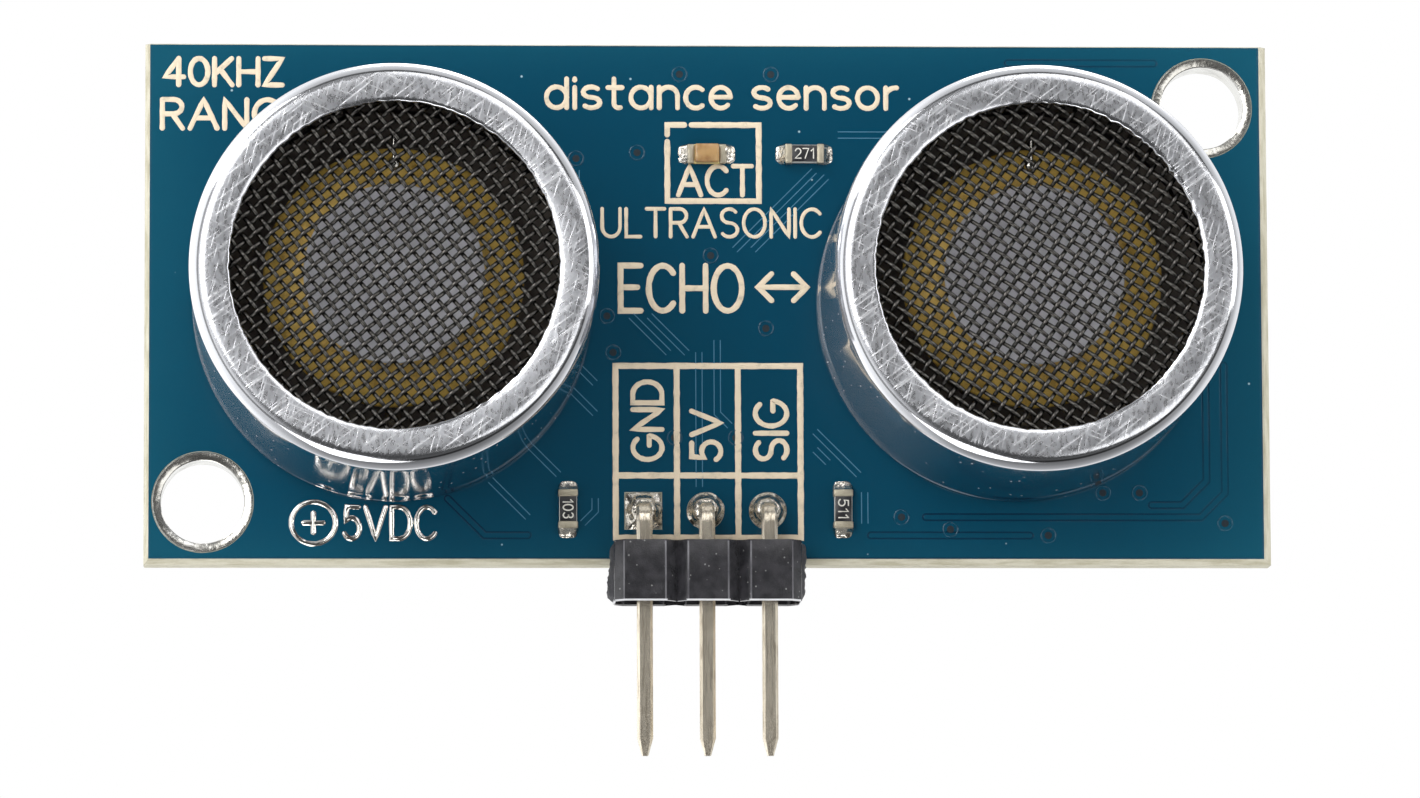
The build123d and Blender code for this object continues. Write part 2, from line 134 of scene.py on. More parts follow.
class Value:
    """A number in a node tree that Python's operators work on."""

    def __init__(self, graph: Graph, socket: bpy.types.NodeSocket) -> None:
        """Wraps one output socket of a graph."""
        self.graph = graph
        self.socket = socket

    def math(self, operation: str, first: Any, second: Any = 0.0) -> "Value":
        """Returns the result of a Math node on two values."""
        return self.graph.value("ShaderNodeMath", {"operation": operation}, {0: first, 1: second})

    def __add__(self, other: Any) -> "Value":
        """Returns the sum."""
        return self.math("ADD", self, other)

    def __sub__(self, other: Any) -> "Value":
        """Returns the difference."""
        return self.math("SUBTRACT", self, other)

    def __rsub__(self, other: Any) -> "Value":
        """Returns other minus this."""
        return self.math("SUBTRACT", other, self)

    def __mul__(self, other: Any) -> "Value":
        """Returns the product."""
        return self.math("MULTIPLY", self, other)

    def __truediv__(self, other: Any) -> "Value":
        """Returns the quotient."""
        return self.math("DIVIDE", self, other)

    def __rtruediv__(self, other: Any) -> "Value":
        """Returns other divided by this."""
        return self.math("DIVIDE", other, self)

    def __pow__(self, other: Any) -> "Value":
        """Returns this to a power."""
        return self.math("POWER", self, other)

    __radd__ = __add__
    __rmul__ = __mul__

    def unary(self, operation: str) -> "Value":
        """Returns a one-input Math node's result, such as a cosine."""
        return self.math(operation, self)

    def step(self, low: float, high: float) -> "Value":
        """Returns 0 below low, 1 above high and a smooth step between; low may be the larger."""
        if low > high:
            return 1 - self.step(high, low)
        return self.graph.value("ShaderNodeMapRange", {"interpolation_type": "SMOOTHSTEP"},
                                {0: self, 1: low, 2: high, 3: 0.0, 4: 1.0})


class Sheet(Graph):
    """The node tree of one finish, with its patterns measured in millimetres."""

    def __init__(self, name: str) -> None:
        """Makes an empty material of that name."""
        self.material = bpy.data.materials.new(name)
        self.material.use_nodes = True
        super().__init__(self.material.node_tree)
        self.tree.nodes.clear()
        self.output = self.node("ShaderNodeOutputMaterial")
        coordinates = self.node("ShaderNodeTexCoord").outputs["Object"]
        self.place = self.scaled(coordinates, (1000.0, 1000.0, 1000.0))

    def scaled(self, vector: Any, by: Sequence[float]) -> Value:
        """Returns a vector multiplied by three numbers."""
        return self.value("ShaderNodeVectorMath", {"operation": "MULTIPLY"}, {0: vector, 1: by})

    def parts(self, vector: Any) -> list[Value]:
        """Returns a vector's three numbers."""
        made = self.node("ShaderNodeSeparateXYZ", sockets={0: vector})
        return [Value(self, output) for output in made.outputs]

    def joined(self, x: Any, y: Any, z: Any) -> Value:
        """Returns a vector of three values."""
        return self.value("ShaderNodeCombineXYZ", sockets={0: x, 1: y, 2: z})

    def grain(self, scale: float, detail: float = 2.0, stretch: Sequence[float] | None = None,
              vector: Any = None, roughness: float = 0.5) -> Value:
        """Returns noise.

        Args:
            scale: how many features there are in a millimetre.
            detail: how many finer octaves.
            stretch: factors along the three axes, for streaks.
            vector: where to read it, if not at the Object position.
            roughness: the strength of the finer octaves.

        Returns:
            A value around 0.5.
        """
        at = self.place if vector is None else vector
        if stretch:
            at = self.scaled(at, stretch)
        sockets = {"Vector": at, "Scale": scale, "Detail": detail, "Roughness": roughness}
        return self.value("ShaderNodeTexNoise", sockets=sockets)

    def cells(self, scale: float, stretch: Sequence[float] | None = None, feature: str = "F1") -> Value:
        """Returns the distance to scattered points, whose number in a millimetre is scale."""
        at = self.scaled(self.place, stretch) if stretch else self.place
        return self.value("ShaderNodeTexVoronoi", {"feature": feature}, {"Vector": at, "Scale": scale})

    def mix(self, factor: Any, first: Any, second: Any) -> Value:
        """Returns a blend of two colours."""
        sockets = {0: factor}
        for number, colour in ((6, first), (7, second)):
            sockets[number] = colour if isinstance(colour, Value) else (*colour, 1.0)
        return self.value("ShaderNodeMix", {"data_type": "RGBA"}, sockets, 2)

    def bumped(self, height: Value, depth: float, strength: float = 1.0) -> Value:
        """Returns a normal from a height of 0 to 1 that stands for a depth in millimetres."""
        sockets = {"Strength": strength, "Distance": depth * MM, "Height": height}
        return self.value("ShaderNodeBump", sockets=sockets)

    def surface(self, **sockets: Any) -> None:
        """Ends the sheet in one Principled shader; underscores in the names stand for spaces."""
        named = {name.replace("_", " "): value for name, value in sockets.items()}
        for name in ("Base Color", "Emission Color"):
            if isinstance(named.get(name), tuple):
                named[name] = (*named[name], 1.0)
        shader = self.node("ShaderNodeBsdfPrincipled", sockets=named)
        self.feed(self.output.inputs["Surface"], shader.outputs[0])


# ---------------------------------------------------------------- finishes


@dataclass(frozen=True)
class Finish:
    """One surface finish; each kind says how its colour, gloss and relief vary."""

    name: str

    def paint(self, sheet: Sheet) -> None:
        """Builds the finish's nodes."""
        raise NotImplementedError

    def material(self) -> bpy.types.Material:
        """Returns the finish's material, made on first use; its name never meets a packed slot's."""
        title = f"{self.name}_finish"
        made = bpy.data.materials.get(title)
        if made is None:
            sheet = Sheet(title)
            self.paint(sheet)
            made = sheet.material
        return made


@dataclass(frozen=True)
class SolderMask(Finish):
    """Glossy blue solder mask, a little lighter over copper, with dust caught in it, and painted glare that lightens
    it towards the board's edges.
    """

    # centre is the mask's own tint; edge is that tint with painted glare, used towards the board's edges.
    centre: Colour = linear(4, 62, 85)
    edge: Colour = linear(18, 78, 98)

    def paint(self, sheet: Sheet) -> None:
        """Builds a colour that lightens towards the sides as painted glare, faint clouds, specks and a wavy gloss."""
        x, _, z = sheet.parts(sheet.place)
        # Painted glare: the tint lightens towards the board's edges.
        side = (x / 23.0).unary("ABSOLUTE") ** 6 + (z / 11.0).unary("ABSOLUTE") ** 8
        cloud = sheet.grain(0.12, 3.0)
        weave = sheet.grain(2.6, 1.0, (1.0, 1.0, 3.0)) * 0.5 + sheet.grain(2.6, 1.0, (3.0, 1.0, 1.0)) * 0.5
        tint = sheet.mix((side * 0.55 + cloud * 0.3 + weave * 0.12).step(0.1, 1.0), self.centre, self.edge)
        speck = sheet.cells(0.55).step(0.035, 0.015)
        tint = sheet.mix(speck * 0.8, tint, linear(170, 200, 210))
        relief = sheet.grain(0.9, 3.0) * 0.6 + weave * 0.4
        sheet.surface(Base_Color=tint, Roughness=sheet.grain(1.4, 3.0) * 0.1 + 0.05, IOR=1.5,
                      Specular_IOR_Level=0.45, Normal=sheet.bumped(relief, 0.003))


@dataclass(frozen=True)
class Laminate(Finish):
    """Bare glass-fibre laminate: layered on its cut edges, with torn fibres."""

    resin: Colour = linear(204, 200, 182)
    fibre: Colour = linear(164, 158, 132)

    def paint(self, sheet: Sheet) -> None:
        """Builds layers through the thickness, fibre streaks and pits."""
        layers = sheet.grain(3.2, 2.0, (0.25, 2.4, 0.25))
        streaks = sheet.grain(5.0, 3.0, (0.3, 3.0, 0.3))
        pits = sheet.grain(9.0, 2.0)
        tint = sheet.mix(layers.step(0.35, 0.7) * 0.6 + pits * 0.3, self.resin, self.fibre)
        relief = streaks * 0.7 + pits * 0.3
        sheet.surface(Base_Color=tint, Roughness=pits * 0.3 + 0.5, Normal=sheet.bumped(relief, 0.03))


@dataclass(frozen=True)
class Ink(Finish):
    """Screen-printed legend ink, slightly uneven in cover."""

    cover: Colour = linear(226, 209, 182)
    thin: Colour = linear(186, 174, 152)

    def paint(self, sheet: Sheet) -> None:
        """Builds patchy cover and a soft grain."""
        patches = sheet.grain(2.2, 4.0)
        grain = sheet.grain(14.0, 2.0)
        tint = sheet.mix((patches * 0.8 + grain * 0.2).step(0.5, 0.78), self.cover, self.thin)
        sheet.surface(Base_Color=tint, Roughness=grain * 0.25 + 0.42, Normal=sheet.bumped(grain, 0.008))


@dataclass(frozen=True)
class Metal(Finish):
    """A plated, tinned or bare metal with clouds of tarnish, ripples and fine scratches."""

    colour: Colour = (0.7, 0.7, 0.68)
    tarnish: Colour = (0.3, 0.28, 0.24)
    roughness: float = 0.25
    tarnished: float = 0.3
    ripple: float = 0.01
    ripple_scale: float = 3.0
    scratch: float = 0.0
    metallic: float = 1.0
    along: tuple[float, float, float] = (1.0, 1.0, 0.06)
    streaks: float = 0.0

    def paint(self, sheet: Sheet) -> None:
        """Builds tarnish, uneven gloss, ripples, and scratches drawn out along one axis."""
        cloud = sheet.grain(self.ripple_scale * 0.45, 4.0)
        fine = sheet.grain(self.ripple_scale * 4.0, 2.0)
        lines = sheet.grain(16.0, 2.0, self.along)
        spread = (cloud * 0.8 + fine * 0.2).step(0.45, 0.75) * self.tarnished
        tint = sheet.mix(spread + lines.step(0.45, 0.65) * self.streaks, self.colour, self.tarnish)
        relief = sheet.grain(self.ripple_scale, 3.0) + lines * self.scratch
        gloss = (cloud * 0.5 + fine * 0.3 + lines * 0.2) * self.roughness * 1.2 + self.roughness * 0.4
        sheet.surface(Base_Color=tint, Metallic=self.metallic, Roughness=gloss,
                      Normal=sheet.bumped(relief, self.ripple))


@dataclass(frozen=True)
class CanMetal(Finish):
    """Drawn aluminium: a mirror on the side, a scuffed satin rim with radial streaks on the front, painted glints in
    the rim's scratches and a painted sheen on each can's left side.
    """

    centre_x: float = 0.0
    front_y: float = -12.0

    def paint(self, sheet: Sheet) -> None:
        """Builds crossing scratches with painted glints and scuffs on the rim, draw marks on the side, a painted sheen
        on the left side, and dings.
        """
        x, y, z = sheet.parts(sheet.place)
        across = x - self.centre_x
        radius = (across * across + z * z).unary("SQRT")
        around = sheet.joined(across / radius, z / radius, radius * 0.05)
        punched = radius.step(6.7, 6.58)
        rim = y.step(self.front_y + 0.75, self.front_y + 0.35) * radius.step(7.78, 7.42) * (1 - punched * 0.8)
        spokes = sheet.grain(34.0, 3.0, vector=around)
        lines = [self.scratches(sheet, across, z, turn, scale) for turn, scale in ((38, 9.0), (-24, 12.0), (74, 14.0))]
        cuts_and_glints = lines[0].step(0.56, 0.72) + lines[1].step(0.6, 0.74) * 0.7 + lines[2].step(0.6, 0.74) * 0.6
        cloud = sheet.grain(0.9, 4.0)
        scuffs = sheet.grain(5.0, 4.0).step(0.5, 0.7)
        nicks = sheet.cells(1.6, (1.0, 0.5, 1.6)).step(0.11, 0.05)
        mottle = sheet.grain(7.0, 5.0, vector=sheet.joined(across, y, z * 0.4)).step(0.36, 0.68)
        worn = (scuffs * 0.15 + mottle * 0.4 + spokes.step(0.5, 0.75) * 0.1 + cloud.step(0.45, 0.7) * 0.15) * rim
        tint = sheet.mix(worn * 0.75, linear(214, 215, 219), linear(112, 115, 124))
        # Painted glints: the rim's scratches are whitened as well as cut into the relief.
        tint = sheet.mix(cuts_and_glints * rim * 0.5, tint, linear(250, 250, 252))
        gloss = rim * (0.24 + mottle * 0.12 + scuffs * 0.06) + (1 - rim) * (0.05 + sheet.grain(2.2, 4.0) * 0.1)
        # Painted sheen: on the left of each can's side and rounded edge the metal turns partly diffuse, so that side
        # shows pale.
        left_side_sheen = (1 - rim) * (across / -8.1).step(0.3, 0.9) * (0.1 + sheet.grain(3.0, 4.0, (1.0, 0.3, 1.0)) * 0.12)
        relief = (cuts_and_glints * 0.7 + spokes * 0.1 + sheet.grain(8.0, 3.0) * 0.4) * rim
        nicks = nicks * y.step(self.front_y + 0.9, self.front_y + 1.2)
        relief = relief + (1 - rim) * sheet.grain(9.0, 3.0, (0.7, 0.12, 0.7)) * 0.1 - nicks * 0.4
        sheet.surface(Base_Color=tint, Metallic=1 - left_side_sheen - nicks * 0.5, Roughness=gloss + nicks * 0.2,
                      Normal=sheet.bumped(relief, 0.008))

    def scratches(self, sheet: Sheet, x: Value, z: Value, turn: float, scale: float) -> Value:
        """Returns fine lines that run at an angle in degrees across the rim."""
        c, s = math.cos(math.radians(turn)), math.sin(math.radians(turn))
        along, over = x * c + z * s, z * c - x * s
        return sheet.grain(scale, 2.0, vector=sheet.joined(along * 0.04, over, 0.0))


@dataclass(frozen=True)
class Moulded(Finish):
    """A moulded, fired or cast material: faint mottling, a fine grain and a few specks."""

    colour: Colour = (0.02, 0.02, 0.022)
    mottle: Colour = (0.05, 0.05, 0.055)
    roughness: float = 0.45
    grain_scale: float = 9.0
    depth: float = 0.006
    specks: float = 0.15
    dust: Colour = linear(186, 186, 184)

    def paint(self, sheet: Sheet) -> None:
        """Builds the mottling, specks and surface grain."""
        cloud = sheet.grain(self.grain_scale * 0.12, 3.0)
        fine = sheet.grain(self.grain_scale, 3.0)
        speck = sheet.cells(self.grain_scale * 0.18).step(0.14, 0.06)
        tint = sheet.mix(cloud.step(0.3, 0.75) * 0.5 + fine * 0.25, self.colour, self.mottle)
        tint = sheet.mix(speck * self.specks, tint, self.dust)
        gloss = self.roughness * 0.75 + (cloud * 0.5 + fine * 0.5) * self.roughness * 0.5
        relief = fine * 0.8 + cloud * 0.6
        sheet.surface(Base_Color=tint, Roughness=gloss, Normal=sheet.bumped(relief, self.depth))


@dataclass(frozen=True)
class ClearResin(Finish):
    """The lamp's cast amber resin, lit from within by scattered light."""

    colour: Colour = linear(180, 146, 100)
    deep: Colour = linear(140, 102, 64)

    def paint(self, sheet: Sheet) -> None:
        """Builds a cloudy amber body under a smooth skin."""
        cloud = sheet.grain(2.4, 2.0)
        tint = sheet.mix(cloud.step(0.35, 0.8), self.colour, self.deep)
        sheet.surface(Base_Color=tint, Roughness=cloud * 0.15 + 0.12, Subsurface_Weight=0.35,
                      Subsurface_Radius=(0.0006, 0.0003, 0.0001), Normal=sheet.bumped(cloud, 0.01))


# Each mask's second colour is painted glare towards the board's edges.
MASK = SolderMask("solder_mask_over_copper")
MASK_GAP = SolderMask("solder_mask_over_laminate", linear(2, 38, 62), linear(24, 78, 100))
# Painted highlight: the ridges along the middle tracks are coloured pale.
MASK_RIDGE_HIGHLIGHT = SolderMask("solder_mask_ridge_highlight", linear(72, 120, 146), linear(72, 120, 146))
LAMINATE = Laminate("glass_fibre_laminate")
INK = Ink("legend_ink")
TINNED = Metal("tinned_copper", linear(200, 195, 182), linear(116, 106, 90), 0.24, 0.6, 0.02, 3.4)
BARREL = Metal("tinned_barrel", linear(214, 212, 205), linear(140, 136, 126), 0.2, 0.5, 0.02, 3.0)
END_METAL = Metal("dull_tin", linear(186, 178, 158), linear(120, 106, 84), 0.42, 0.5, 0.03, 4.0, 0.0, 0.75)
SOLDER = Metal("solder", linear(214, 208, 196), linear(104, 95, 80), 0.16, 0.6, 0.05, 3.2)
MARK = Metal("tinned_mark", linear(236, 233, 226), linear(160, 154, 142), 0.12, 0.5, 0.014, 2.2)
PLATING = Metal("pin_plating", linear(234, 224, 205), linear(132, 118, 98), 0.22, 0.4, 0.004, 2.6, 0.8, 0.78,
                streaks=0.4)
WIRE = Metal("screen_wire", linear(84, 82, 79), linear(40, 39, 38), 0.2, 0.5, 0.01, 6.0)
BRASS = Metal("brass_plate", linear(232, 196, 100), linear(160, 124, 48), 0.4, 0.8, 0.03, 3.2, 0.0, 0.25)
CONE = Metal("cone_metal", linear(200, 200, 205), linear(156, 157, 163), 0.6, 0.4, 0.008, 2.2, 0.0, 0.1)
HOUSING = Moulded("header_plastic", linear(32, 32, 35), linear(70, 69, 73), 0.2, 17.0, 0.01, 0.45)
# Painted highlight: a lighter grey for the header's side chamfers.
CHAMFER_HIGHLIGHT_PLASTIC = Moulded("chamfer_highlight_plastic", linear(62, 61, 66), linear(150, 149, 154), 0.3, 7.0, 0.01, 0.4)
# Painted reflection: a near white for the header's downward faces.
UNDERSIDE_REFLECTION = Moulded("underside_painted_reflection", linear(206, 206, 210), linear(236, 236, 238), 0.4, 7.0, 0.01, 0.2)
SNAPPED = Moulded("snapped_plastic", linear(34, 34, 38), linear(92, 92, 96), 0.7, 6.0, 0.05, 0.3)
EPOXY = Moulded("chip_plastic", linear(38, 38, 41), linear(66, 66, 70), 0.55, 12.0, 0.01, 0.2)
GLAZE = Moulded("resistor_glaze", linear(24, 24, 27), linear(44, 44, 48), 0.3, 8.0, 0.004, 0.05)
ALUMINA = Moulded("resistor_ceramic", linear(228, 226, 218), linear(204, 200, 190), 0.5, 10.0, 0.006, 0.1)
CODE = Moulded("resistor_code", linear(226, 224, 214), linear(190, 188, 180), 0.5, 12.0, 0.004, 0.1)
DIELECTRIC = Moulded("capacitor_ceramic", linear(188, 152, 112), linear(160, 122, 84), 0.45, 8.0, 0.006, 0.1)
PIEZO = Moulded("piezo_ceramic", linear(206, 202, 190), linear(180, 174, 160), 0.5, 8.0, 0.006, 0.2)
BASE_RESIN = Moulded("base_resin", linear(120, 112, 102), linear(140, 132, 120), 0.5, 6.0, 0.01, 0.1)
RUBBER = Moulded("mount_rubber", linear(214, 212, 204), linear(188, 186, 178), 0.6, 6.0, 0.01, 0.1)
LAMP_BASE = Moulded("lamp_substrate", linear(216, 196, 130), linear(180, 158, 94), 0.5, 8.0, 0.008, 0.1)
LAMP_RESIN = ClearResin("lamp_resin")
RESONATOR = Moulded("resonator_ceramic", linear(196, 178, 150), linear(166, 146, 116), 0.5, 8.0, 0.006, 0.1)
RESONATOR_LID = Moulded("resonator_lid", linear(40, 44, 58), linear(64, 70, 88), 0.4, 8.0, 0.006, 0.1)
TANTALUM = Moulded("tantalum_plastic", linear(196, 138, 52), linear(168, 110, 36), 0.4, 9.0, 0.008, 0.1)


# ---------------------------------------------------------------- shapes


class Form:
    """A mesh in the making: points in millimetres, and faces that name their finish by number."""

    def __init__(self) -> None:
        """Starts empty."""
        self.points: list[Vector] = []
        self.faces: list[tuple[Sequence[int], int]] = []

    def add(self, points: Iterable[Sequence[float]], faces: Iterable[Sequence[int]], finish: int = 0) -> None:
        """Adds points and the faces between them, numbered from the first of these points."""
        start = len(self.points)
        self.points += [Vector(p) for p in points]
        self.faces += [([start + i for i in face], finish) for face in faces]

    def lattice(self, rows: Sequence[Sequence[Sequence[float]]], wrap_rows: bool = False,
                wrap_columns: bool = False, finish: int = 0) -> None:
        """Adds a surface through rows of points.

        Args:
            rows: the points, row by row, all of one length.
            wrap_rows: whether the last row joins the first.
            wrap_columns: whether each row is a ring.
            finish: the finish's number.
        """
        count, width = len(rows), len(rows[0])
        faces = []
        for i in range(count if wrap_rows else count - 1):
            for j in range(width if wrap_columns else width - 1):
                a, b = i, (i + 1) % count
                c, d = j, (j + 1) % width
                faces.append((a * width + c, b * width + c, b * width + d, a * width + d))
        self.add([p for row in rows for p in row], faces, finish)

    def lathe(self, centre: Flat, outline: Sequence[Flat], steps: int, finish: int = 0, closed: bool = True,
              reach: Callable[[float, float, float], tuple[float, float]] | None = None) -> None:
        """Adds an outline of radius and depth turned about an axis along Y.

        Args:
            centre: the axis, as x and z.
            outline: radii and depths.
            steps: how many places round the turn.
            finish: the finish's number.
            closed: whether the outline's last point joins its first.
            reach: changes a radius and depth at an angle, for an uneven edge.
        """
        rows = []
        for radius, depth in outline:
            row = []
            for i in range(steps):
                angle = math.tau * i / steps
                r, y = reach(angle, radius, depth) if reach else (radius, depth)
                row.append((centre[0] + r * math.cos(angle), y, centre[1] + r * math.sin(angle)))
            rows.append(row)
        self.lattice(rows, closed, True, finish)

    def block(self, low: Sequence[float], high: Sequence[float], bevel: float, segments: int = 2,
              finish: int = 0) -> None:
        """Adds a block with rounded edges between two corners."""
        made = bmesh.new()
        bmesh.ops.create_cube(made, size=1.0)
        low, high = Vector(low), Vector(high)
        for vertex in made.verts:
            vertex.co = Vector((low[k] + high[k]) / 2 + vertex.co[k] * (high[k] - low[k]) for k in range(3))
        bmesh.ops.bevel(made, geom=made.edges[:], offset=bevel, segments=segments, affect="EDGES", profile=0.5)
        self.add([v.co.copy() for v in made.verts], [[v.index for v in f.verts] for f in made.faces], finish)
        made.free()

    def shifted(self, move: Callable[[Vector], Vector], start: int = 0) -> None:
        """Moves every point from number start on by a rule."""
        self.points[start:] = [move(p) for p in self.points[start:]]

    def piece(self, name: str, finishes: Sequence[Finish], sharp: float = 38.0, weld: float = 1e-4,
              outwards: bool = True) -> bpy.types.Object:
        """Makes the object.

        Args:
            name: the piece's name.
            finishes: its finishes, in the order that the faces number them.
            sharp: the angle in degrees past which an edge stays crisp.
            weld: how near points are to be joined, in millimetres.
            outwards: whether to turn the faces outwards afresh.

        Returns:
            The object, at the origin.
        """
        mesh = bpy.data.meshes.new(name)
        mesh.from_pydata([p * MM for p in self.points], [], [face for face, _ in self.faces])
        for finish in finishes:
            mesh.materials.append(finish.material())
        mesh.polygons.foreach_set("material_index", [finish for _, finish in self.faces])
        made = bmesh.new()
        made.from_mesh(mesh)
        bmesh.ops.remove_doubles(made, verts=made.verts[:], dist=weld * MM)
        bmesh.ops.dissolve_degenerate(made, edges=made.edges[:], dist=weld * MM * 0.1)
        if outwards:
            bmesh.ops.recalc_face_normals(made, faces=made.faces[:])
        made.to_mesh(mesh)
        made.free()
        return place(name, mesh, sharp)


def place(name: str, mesh: bpy.types.Mesh, sharp: float = 38.0) -> bpy.types.Object:
    """Shades a mesh, links it as an object at the origin and lets it ride on the body."""
    mesh.polygons.foreach_set("use_smooth", [True] * len(mesh.polygons))
    mesh.set_sharp_from_angle(angle=math.radians(sharp))
    made = bpy.data.objects.new(name, mesh)
    bpy.context.scene.collection.objects.link(made)
    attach(made, BODY)
    LOG.info("%s: %d faces", name, len(mesh.polygons))
    return made


def arc(centre: Flat, radii: Flat, start: float, end: float, steps: int = 14) -> list[Flat]:
    """Returns points along an ellipse, from one angle in degrees to another."""
    angles = [math.radians(start + (end - start) * i / steps) for i in range(steps + 1)]
    return [(centre[0] + radii[0] * math.cos(a), centre[1] + radii[1] * math.sin(a)) for a in angles]


def wobble(x: float, y: float, z: float = 0.0) -> float:
    """Returns smooth noise between about -1 and 1."""
    return noise.noise(Vector((x, y, z)))


def around(angle: float, scale: float, seed: float) -> float:
    """Returns noise that closes on itself round a turn."""
    return wobble(math.cos(angle) * scale + seed, math.sin(angle) * scale, seed)


# ---------------------------------------------------------------- flat sheets and ribbons


def offset_line(points: Sequence[Flat], half: float) -> list[Flat]:
    """Returns a closed loop at a distance round a bent line, with round ends."""
    def side(line: Sequence[Flat]) -> list[Flat]:
        """Returns the points to the left of a line, and the round end after its last point."""
        made = []
        for i, (x, z) in enumerate(line):
            before = Vector(line[i]) - Vector(line[i - 1]) if i else None
            after = Vector(line[i + 1]) - Vector(line[i]) if i + 1 < len(line) else None
            if before is None or after is None:
                along = (after or before).normalized()
                made.append((x - along.y * half, z + along.x * half))
            else:
                a, b = before.normalized(), after.normalized()
                middle = (Vector((-a.y, a.x)) + Vector((-b.y, b.x))).normalized()
                reach = half / max(0.5, middle.dot(Vector((-a.y, a.x))))
                made.append((x + middle.x * reach, z + middle.y * reach))
        along = (Vector(line[-1]) - Vector(line[-2])).normalized()
        turn = math.degrees(math.atan2(along.x, -along.y))
        return made + arc(line[-1], (half, half), turn, turn - 180, 8)[1:-1]

    return side(points) + side(points[::-1])


def flat_sheet(loops: Sequence[Sequence[Flat]], low: float, high: float, bevel: float,
               finish: Finish) -> bpy.types.Mesh:
    """Returns a filled sheet in the board's plane.

    Args:
        loops: closed outlines in x and z; one inside another is a hole.
        low: the depth y of its back.
        high: the depth y of its front.
        bevel: how much its edges are rounded.
        finish: its finish.
    """
    curve = bpy.data.curves.new("flat_sheet", "CURVE")
    curve.dimensions = "2D"
    curve.fill_mode = "BOTH"
    thick = abs(high - low)
    curve.extrude = max(thick / 2 - bevel, 0.0) * MM
    curve.bevel_depth = bevel * MM
    curve.bevel_resolution = 1
    curve.offset = -bevel * MM
    for loop in loops:
        spline = curve.splines.new("POLY")
        spline.points.add(len(loop) - 1)
        for point, (x, z) in zip(spline.points, loop):
            point.co = (x * MM, z * MM, 0.0, 1.0)
        spline.use_cyclic_u = True
    holder = bpy.data.objects.new("flat_sheet", curve)
    bpy.context.scene.collection.objects.link(holder)
    graph = bpy.context.evaluated_depsgraph_get()
    mesh = bpy.data.meshes.new_from_object(holder.evaluated_get(graph))
    bpy.data.objects.remove(holder)
    bpy.data.curves.remove(curve)
    mesh.transform(Matrix.Translation((0, (low + high) / 2 * MM, 0)) @ Matrix.Rotation(math.pi / 2, 4, "X"))
    mesh.materials.clear()
    mesh.materials.append(finish.material())
    return mesh


def joined_mesh(meshes: Sequence[bpy.types.Mesh]) -> bpy.types.Mesh:
    """Returns several meshes as one, which keeps each one's finish."""
    whole = bmesh.new()
    slots = []
    for mesh in meshes:
        start = len(whole.faces)
        whole.from_mesh(mesh)
        whole.faces.ensure_lookup_table()
        for face in whole.faces[start:]:
            face.material_index += len(slots)
        slots += list(mesh.materials)
    bmesh.ops.remove_doubles(whole, verts=whole.verts[:], dist=1e-8)
    bmesh.ops.recalc_face_normals(whole, faces=whole.faces[:])
    mesh = bpy.data.meshes.new("joined")
    for slot in slots:
        mesh.materials.append(slot)
    whole.to_mesh(mesh)
    whole.free()
    return mesh


@dataclass
class Ribbon:
    """A printed or tinned stroke: a flat band with sloped sides and round ends."""

    width: float = 0.24
    rise: float = 0.02
    slope: float = 0.03
    ragged: float = 0.09
    step: float = 0.22
    seed: int = 5

    def lay(self, form: Form, points: Sequence[Flat], level: float, face: Face, finish: int = 0) -> None:
        """Lays a stroke.

        Args:
            form: the mesh to add it to.
            points: the stroke's middle line, in x and z; closed if it ends where it starts.
            level: how far the surface under it stands off the board's face plane.
            face: the side of the board, whose outward direction the stroke rises along.
            finish: the finish's number.
        """
        dice = random.Random(self.seed + len(form.points))
        closed = math.dist(points[0], points[-1]) < 1e-6
        line = [Vector(p) for p in (points[:-1] if closed else points)]
        rise = self.rise * (1 + dice.uniform(-0.15, 0.15))
        rows = []
        line = self.divided(line, closed)
        count = len(line)
        for i, p in enumerate(line):
            back = line[i - 1] if closed or i else p
            ahead = line[(i + 1) % count] if closed or i + 1 < count else p
            a = (p - back).normalized() if back != p else (ahead - p).normalized()
            b = (ahead - p).normalized() if ahead != p else a
            across = Vector((-a.y - b.y, a.x + b.x)).normalized()
            stretch = min(1.4, 1 / max(0.4, across.dot(Vector((-a.y, a.x)))))
            half = self.width / 2 * (1 + dice.uniform(-self.ragged, self.ragged)) * stretch
            rows.append(self.section(p, across, half, level, rise, face))
        if not closed:
            for end, at, toward in ((0, line[0], line[0] - line[1]), (-1, line[-1], line[-1] - line[-2])):
                tips = self.tip(at, toward.normalized(), level, rise, face)
                rows = tips[::-1] + rows if end == 0 else rows + [row[::-1] for row in tips]
        form.lattice(rows, closed, False, finish)

    def divided(self, line: list[Vector], closed: bool) -> list[Vector]:
        """Returns the line with more points on its long runs, so that its edge can waver."""
        made = []
        for here, ahead in zip(line, line[1:] + (line[:1] if closed else [])):
            count = max(1, int((ahead - here).length / self.step))
            made += [here.lerp(ahead, i / count) for i in range(count)]
        return made if closed else made + line[-1:]

    def section(self, p: Vector, across: Vector, half: float, level: float, rise: float,
                face: "Face") -> list[tuple[float, float, float]]:
        """Returns the points across a stroke at one place."""
        inner = max(half - self.slope, half * 0.4)
        heights = (level, level + rise, level + rise, level)
        spans = (-half, -inner, inner, half)
        return [(p.x + across.x * s, surface(face, h), p.y + across.y * s) for s, h in zip(spans, heights)]

    def tip(self, at: Vector, toward: Vector, level: float, rise: float,
            face: "Face") -> list[list[tuple[float, float, float]]]:
        """Returns the rows that round off an end, from the stroke outwards."""
        rows = []
        across = Vector((toward.y, -toward.x))
        for angle in (30, 60, 84):
            turn = math.radians(angle)
            middle = at + toward * (self.width / 2 * math.sin(turn))
            rows.append(self.section(middle, across, self.width / 2 * math.cos(turn), level, rise, face))
        return rows


